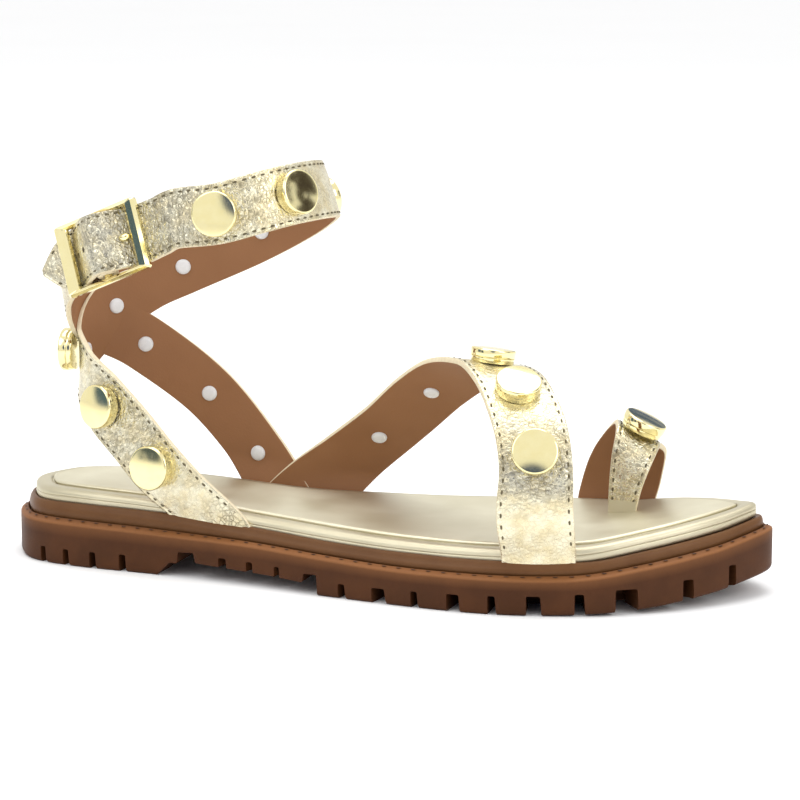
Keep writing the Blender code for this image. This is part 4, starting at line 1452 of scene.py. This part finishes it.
def sock_levels():
    base = CLEARANCE - SOCK_RECESS
    levels = [(SOCK_INSET, footbed_level(1.0, base))]
    for inset, share in ((-0.0002, 0.35), (-0.0002, 0.55), (0.0, 0.80), (0.0005, 0.95), (0.0010, 1.0)):
        levels.append((SOCK_INSET + inset, footbed_level(1.0, base + share * SOCK_THICKNESS)))
    return levels


def toe_slot_cutter(name):
    """The slot's outline for the toe strap's inner leg, a clearance wider all round."""
    rows = TABLES["toe"]
    work = bmesh.new()
    half = STRAP_THICKNESS / 2 + CLEARANCE
    low, _, across, outward, width = strap_frame(rows, 0)
    high = strap_frame(rows, 1.6)[0]
    side = across * (width / 2 + CLEARANCE)
    corners = [low - side - outward * half, low + side - outward * half,
               low + side + outward * half, low - side + outward * half]
    prism(work, corners, high - low)
    return add_object(name, close_mesh(name, work))


# Buckle

def window_ring(work, place, half_length, half_height, radius, height, steps=4):
    """One closed rectangle with round corners, in the buckle's own directions."""
    ring = []
    for corner in range(4):
        turn = math.radians(90) * corner
        sx, sy = (1, 1, -1, -1)[corner], (1, -1, -1, 1)[corner]
        for step in range(steps + 1):
            angle = -turn + math.radians(90) * (1 - step / steps)
            x = sx * (half_length - radius) + radius * math.cos(angle)
            y = sy * (half_height - radius) + radius * math.sin(angle)
            ring.append(work.verts.new(place @ Vector((x, y, height))))
    return ring


def buckle_mesh():
    """Faceted frame: wide side bars and narrow rails, whose flats lean towards the window."""
    place = buckle_frame_matrix()
    half = BUCKLE_THICKNESS / 2
    length = (BUCKLE_SPAN + BUCKLE_SIDE_BAR) / 2
    height = BAND_WIDTH / 2 + BUCKLE_PLAY + BUCKLE_RAIL
    sections = (
        # share of the side bar, share of the rail, height
        (0.02, 0.05, -half), (0.00, 0.00, -0.8 * half), (0.00, 0.00, 0.10 * half),
        (0.04, 0.06, 0.30 * half), (0.17, 0.28, 0.96 * half), (0.19, 0.32, half),
        (0.72, 0.70, 0.78 * half), (0.74, 0.74, 0.74 * half), (0.96, 0.95, 0.24 * half),
        (1.00, 1.00, 0.08 * half), (1.00, 1.00, -0.9 * half), (0.97, 0.97, -half),
    )
    work = bmesh.new()
    rings = []
    for bar, rail, z in sections:
        radius = max(BUCKLE_CORNER * (1 - 0.8 * bar), 0.0002)
        rings.append(window_ring(
            work, place, length - bar * BUCKLE_SIDE_BAR, height - rail * BUCKLE_RAIL, radius, z,
        ))
    bridge(work, rings + rings[:1])
    return close_mesh("buckle_body", work)


def across_matrix(place):
    """Turns a turned shape's own axis to the buckle's across direction."""
    return place @ Matrix.Rotation(math.radians(90), 4, "X")


def rod_profile(radius, length):
    """Plain round rod with eased ends, top to bottom."""
    ease = 0.18 * radius
    half = length / 2
    return (
        (0.0, half), (radius - ease, half), (radius, half - ease),
        (radius, -half + ease), (radius - ease, -half), (0.0, -half),
    )


def tube_profile(inner, outer, length):
    ease = 0.15 * (outer - inner)
    half = length / 2
    return (
        (inner, half - ease), (inner + ease, half), (outer - ease, half), (outer, half - ease),
        (outer, -half + ease), (outer - ease, -half), (inner + ease, -half), (inner, -half + ease),
        (inner, half - ease),
    )


def join_meshes(name, meshes, materials):
    work = bmesh.new()
    for mesh in meshes:
        work.from_mesh(mesh)
        bpy.data.meshes.remove(mesh)
    bmesh.ops.remove_doubles(work, verts=work.verts, dist=1e-7)
    joined = close_mesh(name, work)
    return add_object(name, joined, materials)


# Settings

def length_property(label, what, value, low, high, precision=4):
    return FloatProperty(
        name=label, description=what, default=value, min=low, max=high, precision=precision, unit="LENGTH",
    )


def colour_property(label, what, value):
    return FloatVectorProperty(
        name=label, description=what, subtype="COLOR", size=3, min=0.0, max=1.0, default=value,
    )


class SandalSizes(bpy.types.PropertyGroup):
    stitch_pitch: length_property("Stitch pitch", "From one strap stitch to the next", 0.0031, 0.001, 0.01)
    stitch_length: length_property("Stitch length", "Length of a stitch", 0.0015, 0.0005, 0.008)
    stitch_width: length_property("Thread width", "Thickness of the thread", 0.0007, 0.0002, 0.002, 5)
    stitch_inset: length_property("Seam inset", "From the seams to the edges", 0.0014, 0.0005, 0.005)
    seam_depth: length_property("Seam depth", "How deep the seams pull in", 0.00018, 0.0, 0.001, 5)
    crease_depth: length_property("Crease depth", "Height of the foil's creases", 0.00016, 0.0, 0.001, 5)
    cap_edge: length_property("Cap edge", "Radius of a cap's round edge", 0.0007, 0.0001, 0.002, 5)
    mark_pitch: length_property("Rim mark pitch", "From one rim mark to the next", 0.0050, 0.002, 0.02)


class SandalColours(bpy.types.PropertyGroup):
    foil: colour_property("Foil", "Metallic foil of the straps", (0.70, 0.61, 0.39))
    foil_pale: colour_property("Pale foil", "Lighter patches of the foil", (0.81, 0.76, 0.57))
    # Grey of the painted shade on the foil, not of rubbed foil
    foil_painted_shade: colour_property("Grey foil", "Rubbed, greyer foil", (0.34, 0.33, 0.29))
    # Painted shade in the foil's creases
    foil_crease_shade: colour_property("Dark foil", "Creases of the foil", (0.13, 0.105, 0.055))
    # Painted shade of the adjuster holes
    hole_shade: colour_property("Holes", "Adjuster holes of the ankle strap", (0.05, 0.035, 0.02))
    footbed: colour_property("Footbed", "Metallic leather of the sock", (0.64, 0.59, 0.42))
    footbed_pale: colour_property("Pale footbed", "Lighter sock leather", (0.76, 0.72, 0.56))
    # Painted shade: the wrap's leather is darker than the sock's for the shade on the footbed's upright side
    wrap: colour_property("Wrap", "Metallic leather around the footbed", (0.52, 0.47, 0.33))
    wrap_pale: colour_property("Pale wrap", "Lighter leather around the footbed", (0.62, 0.57, 0.42))
    lining: colour_property("Lining", "Leather on the inside of the straps", (0.32, 0.155, 0.072))
    lining_dark: colour_property("Dark lining", "Darker lining leather", (0.26, 0.122, 0.054))
    lining_pore: colour_property("Lining pores", "Pores of the lining leather", (0.17, 0.075, 0.035))
    cut_edge: colour_property("Cut edge", "Pale edge of the cut leather", (0.80, 0.72, 0.50))
    cut_edge_dark: colour_property("Dark cut edge", "Darker cut leather", (0.58, 0.47, 0.32))
    # Partly painted shade: the thread is this dark for the shadowed stitch holes too
    thread: colour_property("Thread", "Sewing thread", (0.060, 0.048, 0.020))
    thread_pale: colour_property("Pale thread", "Lighter sewing thread", (0.14, 0.11, 0.05))
    rubber: colour_property("Rubber", "Outsole", (0.078, 0.027, 0.0085))
    rubber_dark: colour_property("Dark rubber", "Darker outsole", (0.058, 0.020, 0.0065))
    rubber_speck: colour_property("Rubber specks", "Specks in the rubber", (0.030, 0.011, 0.005))
    # Painted highlight of the rim's top edge, not wear
    rubber_highlight: colour_property("Rubber edge", "Light worn edge of the rim", (0.30, 0.125, 0.045))
    bead: colour_property("Bead", "Rounded bead above the rim", (0.110, 0.050, 0.018))
    bead_dark: colour_property("Dark bead", "Darker bead", (0.085, 0.037, 0.013))
    gold: colour_property("Gold", "Plated metal", (0.86, 0.75, 0.37))
    gold_pale: colour_property("Pale gold", "Lighter plated metal", (0.91, 0.83, 0.50))
    # Painted shade of the rim's moulded marks
    mark: colour_property("Rim marks", "Moulded marks on the rim", (0.022, 0.009, 0.005))
    rim_mark_shade_pale: colour_property("Pale rim marks", "Lighter moulded marks", (0.045, 0.018, 0.009))
    rivet: colour_property("Rivet back", "Small rivet backs on the lining", (0.80, 0.80, 0.80))
    rivet_dark: colour_property("Dark rivet back", "Darker rivet backs", (0.62, 0.62, 0.63))
    floor: colour_property("Floor", "Floor of the stage", (0.96, 0.96, 0.96))
    floor_pale: colour_property("Pale floor", "Lighter floor", (0.98, 0.98, 0.98))


# Operators

class SANDAL_OT_outsole(bpy.types.Operator):
    """Lugged rubber outsole with its rim and groove"""
    bl_idname = "sandal.outsole"
    bl_label = "Outsole"

    def execute(self, context):
        rubber = gum_rubber("gum_rubber", "rubber", 0.42, 0.14)
        item = add_object("sole_shell", ring_stack("sole_shell", outsole_levels()), [rubber])
        cut(item, [arch_cutter(), slot_cutter(), channel_cutter()])
        # Painted highlight along the rim's top outer edge
        mark_painted_highlight(item.data, lambda p: smooth(HIGHLIGHT_WIDTH, 0.0002, abs(p.z - rim_top(p.x))))
        shade(item, 40)
        settle(item, ["outsole"])
        return {"FINISHED"}


class SANDAL_OT_rim_marks(bpy.types.Operator):
    """Row of small moulded marks along the top of the rim"""
    bl_idname = "sandal.rim_marks"
    bl_label = "Rim marks"

    def execute(self, context):
        sizes = context.scene.sandal_sizes
        ring = inset_ring(sole_ring(), MARK_INSET)
        up = Vector((0, 0, 1))
        line = [(Vector((p.x, p.y, rim_top(p.x) + 0.75 * rim_slope(p.x))), up) for p in ring + ring[:1]]
        item = line_object("rim_marks", [line])
        length, width, height = MARK_SIZE
        run_tree(item, stitch_tree(), {
            "Pitch": sizes.mark_pitch, "Length": length, "Width": width, "Height": height,
            "Material": moulded_mark_shade(),
        })
        settle(item)
        return {"FINISHED"}


class SANDAL_OT_bead(bpy.types.Operator):
    """Round bead between the rim and the footbed"""
    bl_idname = "sandal.bead"
    bl_label = "Bead"

    def execute(self, context):
        rubber = gum_rubber("gum_bead", "bead", 0.30, 0.16)
        item = add_object("sole_bead", ring_stack("sole_bead", bead_levels()), [rubber])
        # Faint painted highlight over the bead above the rim
        mark_painted_highlight(item.data, lambda p: 0.2 * smooth(0.0, HIGHLIGHT_WIDTH, p.z - rim_top(p.x)))
        shade(item, 60)
        settle(item, ["midsole"])
        return {"FINISHED"}


class SANDAL_OT_footbed(bpy.types.Operator):
    """Leather-wrapped footbed and the sock that lies in it"""
    bl_idname = "sandal.footbed"
    bl_label = "Footbed"

    def execute(self, context):
        # The wrap's darker colours are painted shade on the footbed's side
        wrapped = footbed_foil("footbed_foil", "wrap", 0.2)
        item = add_object("footbed_wrap", ring_stack("footbed_wrap", footbed_levels()), [wrapped])
        cut(item, [toe_slot_cutter("slot_1")])
        shade(item, 50)
        settle(item, ["footbed"])
        smooth_foil = footbed_foil("sock_foil", "footbed", 0.5)
        sock = add_object("sock_cover", ring_stack("sock_cover", sock_levels(), sock_surface), [smooth_foil])
        cut(sock, [toe_slot_cutter("slot_2")])
        shade(sock, 50)
        settle(sock, ["sock_pad"])
        return {"FINISHED"}


class SANDAL_OT_straps(bpy.types.Operator):
    """Vamp strap, both crossing bands and the toe strap"""
    bl_idname = "sandal.straps"
    bl_label = "Straps"

    def execute(self, context):
        sizes = context.scene.sandal_sizes
        finishes = [foil_leather(), cut_edge(), lining_leather()]
        ends = {"vamp": (0, -1), "band_a": (0,), "band_b": (0,), "toe": (-1,)}
        for owner, trimmed in ends.items():
            mesh = strap_mesh(f"strap_{owner}", owner, sizes)
            trim_below(mesh, [end_height(TABLES[owner], index) for index in trimmed])
            mesh.shade_smooth()
            item = add_object(f"strap_{owner}", mesh, finishes)
            node = "toe_strap" if owner == "toe" else "upper_straps"
            settle(item, [node])
        return {"FINISHED"}


class SANDAL_OT_stitches(bpy.types.Operator):
    """Seams along both edges of every strap"""
    bl_idname = "sandal.stitches"
    bl_label = "Stitches"

    def execute(self, context):
        sizes = context.scene.sandal_sizes
        for index, (owner, first, last, pitch) in enumerate(STITCH_RUNS):
            lines = stitch_lines(owner, first, last, sizes.stitch_inset)
            item = line_object(f"stitches_{owner}_{index + 1}", lines)
            run_tree(item, stitch_tree(), {
                "Pitch": pitch or sizes.stitch_pitch, "Length": sizes.stitch_length,
                "Width": sizes.stitch_width, "Height": STITCH_HEIGHT, "Material": thread(),
            })
            settle(item)
        return {"FINISHED"}


class SANDAL_OT_studs(bpy.types.Operator):
    """Domed caps on the straps and their small rivet backs on the lining"""
    bl_idname = "sandal.studs"
    bl_label = "Studs"

    def execute(self, context):
        caps, backs = [], []
        for _, owner, place, grip in STUDS:
            centre, along, _, outward, _ = strap_frame(TABLES[owner], place)
            caps.append((centre + outward * (STRAP_THICKNESS / 2 + CLEARANCE + grip), outward, along))
            backs.append((centre - outward * STRAP_THICKNESS / 2, -outward, along))
        self.place_copies("stud_caps", caps, self.cap_profile(context), pale_gold(), "stud_metal")
        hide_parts(*[row[0] for row in STUDS])
        self.place_copies("stud_backs", backs, self.back_profile(), rivet_back(), "stud_metal")
        return {"FINISHED"}

    def cap_profile(self, context):
        """Flat face with a slight dome, a round edge and a side that narrows to its foot."""
        edge = context.scene.sandal_sizes.cap_edge
        radius, top = STUD_DIAMETER / 2, STUD_THICKNESS
        flat = radius - edge
        profile = [(0.0, top)]
        for share in (0.15, 0.3, 0.45, 0.6, 0.75, 0.9, 0.97):
            profile.append((flat * share, top - CAP_DOME * share ** 2))
        for angle in quarter_turn(6):
            profile.append((flat + edge * math.sin(angle), top - CAP_DOME - edge * (1 - math.cos(angle))))
        profile += [(radius - narrower, height) for narrower, height in CAP_SIDE]
        profile.append((0.0, -CLEARANCE))
        return profile

    def back_profile(self):
        """Low dome whose foot is sunk a little into the lining."""
        radius, sunk = RIVET_DIAMETER / 2, 0.0001
        profile = [(0.0, BACK_HEIGHT)]
        for angle in quarter_turn(7, 1):
            profile.append((radius * math.sin(angle) ** 0.8, BACK_HEIGHT * math.cos(angle) ** 0.7))
        return profile + [(radius, -sunk), (0.0, -sunk)]

    def place_copies(self, name, seats, profile, material, slot):
        sides = CAP_SIDES if name == "stud_caps" else CAP_SIDES // 2
        seed = add_object("copy_seed", turned("copy_seed", profile, sides))
        shade(seed, 42)
        item = seat_points(name, seats)
        run_tree(item, seat_tree(), {"Copy": seed, "Material": material})
        bpy.data.objects.remove(seed)
        settle(item)


class SANDAL_OT_buckle(bpy.types.Operator):
    """Buckle frame with its centre bar, sleeve and prong"""
    bl_idname = "sandal.buckle"
    bl_label = "Buckle"

    def execute(self, context):
        gold = pale_gold()
        place = buckle_frame_matrix()
        turned_place = across_matrix(place)
        reach = BAND_WIDTH + 2 * BUCKLE_PLAY + BAR_OVERLAP
        bar = turned("bar", rod_profile(CENTRE_BAR / 2, reach), 24, turned_place)
        item = join_meshes("buckle_body", [buckle_mesh(), bar], [gold])
        shade(item, 12)
        settle(item, ["buckle_frame"])
        inner = CENTRE_BAR / 2 + CLEARANCE
        middle = PRONG_DIAMETER / 2 + CLEARANCE
        length = BAND_WIDTH / 2 - middle - PRONG_DIAMETER / 2
        sleeves = []
        for side in (-1, 1):
            shift = Matrix.Translation((0, side * (middle + PRONG_DIAMETER / 2 + length / 2), 0))
            profile = tube_profile(inner, inner + STRAP_THICKNESS, length)
            sleeves.append(turned("sleeve", profile, 32, across_matrix(place @ shift)))
        sleeve = join_meshes("strap_sleeve", sleeves, [cut_edge()])
        shade(sleeve)
        settle(sleeve)
        self.make_prong(place, turned_place, gold)
        return {"FINISHED"}

    def make_prong(self, place, turned_place, gold):
        inner = CENTRE_BAR / 2 + 0.5 * CLEARANCE
        profile = tube_profile(inner, inner + PRONG_RING_WALL, PRONG_DIAMETER)
        ring = turned("ring", profile, 32, turned_place)
        start = inner + PIN_ROOT
        end = BUCKLE_SPAN / 2 - BUCKLE_SIDE_BAR / 2 - CLEARANCE
        lift = Matrix.Translation(((start + end) / 2, 0, 0.0))
        pin_place = place @ lift @ Matrix.Rotation(math.radians(90), 4, "Y")
        pin = turned("pin", rod_profile(PRONG_DIAMETER / 2 * 0.9, end - start), 20, pin_place)
        tip_radius = PRONG_DIAMETER * 0.72
        profile = [(0.0, 1.5 * tip_radius)]
        for step in range(1, 12):
            angle = math.pi * step / 12
            profile.append((tip_radius * math.sin(angle), 1.5 * tip_radius * math.cos(angle)))
        profile.append((0.0, -1.5 * tip_radius))
        drop = Matrix.Translation((end - 1.3 * tip_radius, 0, PRONG_DIAMETER * 0.45))
        tip = turned("tip", profile, 24, place @ drop @ Matrix.Rotation(math.radians(90), 4, "Y"))
        item = join_meshes("buckle_pin", [ring, pin, tip], [gold])
        shade(item)
        settle(item, ["buckle_prong"])


class SANDAL_OT_stage(bpy.types.Operator):
    """Plain floor, soft studio light and the camera"""
    bl_idname = "sandal.stage"
    bl_label = "Stage"

    def execute(self, context):
        self.make_floor()
        self.make_world(context)
        for lamp in LAMPS:
            self.make_light(*lamp)
        camera = bpy.data.cameras.new("camera")
        camera.lens = CAMERA_LENS
        camera.sensor_width = SENSOR_WIDTH
        camera.clip_start = 0.01
        camera.clip_end = 100.0
        item = bpy.data.objects.new("camera", camera)
        context.scene.collection.objects.link(item)
        item.matrix_world = self.look(CAMERA_PLACE, CAMERA_TARGET)
        context.scene.camera = item
        context.scene.view_settings.view_transform = "Standard"
        return {"FINISHED"}

    def look(self, place, target):
        direction = Vector(target) - Vector(place)
        matrix = direction.to_track_quat("-Z", "Y").to_matrix().to_4x4()
        matrix.translation = Vector(place)
        return matrix

    def make_floor(self):
        work = bmesh.new()
        bmesh.ops.create_grid(work, x_segments=1, y_segments=1, size=FLOOR_HALF)
        mesh = bpy.data.meshes.new("floor")
        work.to_mesh(mesh)
        work.free()
        add_object("floor", mesh, [plain_floor()])

    def make_light(self, name, place, target, size, power):
        light = bpy.data.lights.new(name, "AREA")
        light.shape = "SQUARE"
        light.size = size
        light.energy = power
        item = bpy.data.objects.new(name, light)
        bpy.context.scene.collection.objects.link(item)
        item.matrix_world = self.look(place, target)

    def make_world(self, context):
        """Pale room with a few dark panels for the metal to mirror."""
        world = bpy.data.worlds.new("studio")
        world.use_nodes = True
        context.scene.world = world
        graph = Graph(world.node_tree)
        way = graph.node("ShaderNodeTexCoord", output="Generated")
        shade_now = (1.0, 1.0, 1.0)
        broken = graph.noise(way, 0.16, 2.0, 0.5).step(0.40, 0.46)
        for azimuth, elevation, reach, gaps, colour in DARK_PANELS:
            near = graph.node(
                "ShaderNodeVectorMath", {"operation": "DOT_PRODUCT"},
                {0: way, 1: facing_vector(azimuth, elevation)}, output="Value",
            )
            outer, inner = math.radians(reach + PANEL_SOFTNESS), math.radians(reach - PANEL_SOFTNESS)
            inside = near.step(math.cos(outer), math.cos(inner))
            covered = inside * (1.0 - gaps * (1.0 - broken))
            shade_now = graph.mix(covered, shade_now, colour)
        background = world.node_tree.nodes["Background"]
        graph.feed(background.inputs["Color"], shade_now)
        background.inputs["Strength"].default_value = ROOM_STRENGTH


class SANDAL_PT_panel(bpy.types.Panel):
    """Sizes, colours and steps of the sandal"""
    bl_idname = "SANDAL_PT_panel"
    bl_label = "Gladiator Sandal"
    bl_space_type = "VIEW_3D"
    bl_region_type = "UI"
    bl_category = "Sandal"

    def draw(self, context):
        for group in (context.scene.sandal_sizes, context.scene.sandal_colours):
            box = self.layout.box()
            for name in group.__annotations__:
                box.prop(group, name)
        for operator in OPERATORS:
            self.layout.operator(operator.bl_idname)


OPERATORS = (
    SANDAL_OT_outsole, SANDAL_OT_rim_marks, SANDAL_OT_bead, SANDAL_OT_footbed, SANDAL_OT_straps,
    SANDAL_OT_stitches, SANDAL_OT_studs, SANDAL_OT_buckle, SANDAL_OT_stage,
)
CLASSES = (SandalSizes, SandalColours, *OPERATORS, SANDAL_PT_panel)


def register():
    for kind in CLASSES:
        bpy.utils.register_class(kind)
    bpy.types.Scene.sandal_sizes = PointerProperty(type=SandalSizes)
    bpy.types.Scene.sandal_colours = PointerProperty(type=SandalColours)


def unregister():
    del bpy.types.Scene.sandal_colours
    del bpy.types.Scene.sandal_sizes
    for kind in reversed(CLASSES):
        bpy.utils.unregister_class(kind)


def main():
    register()
    for operator in OPERATORS:
        group, name = operator.bl_idname.split(".")
        getattr(getattr(bpy.ops, group), name)()


if __name__ == "__main__":
    main()
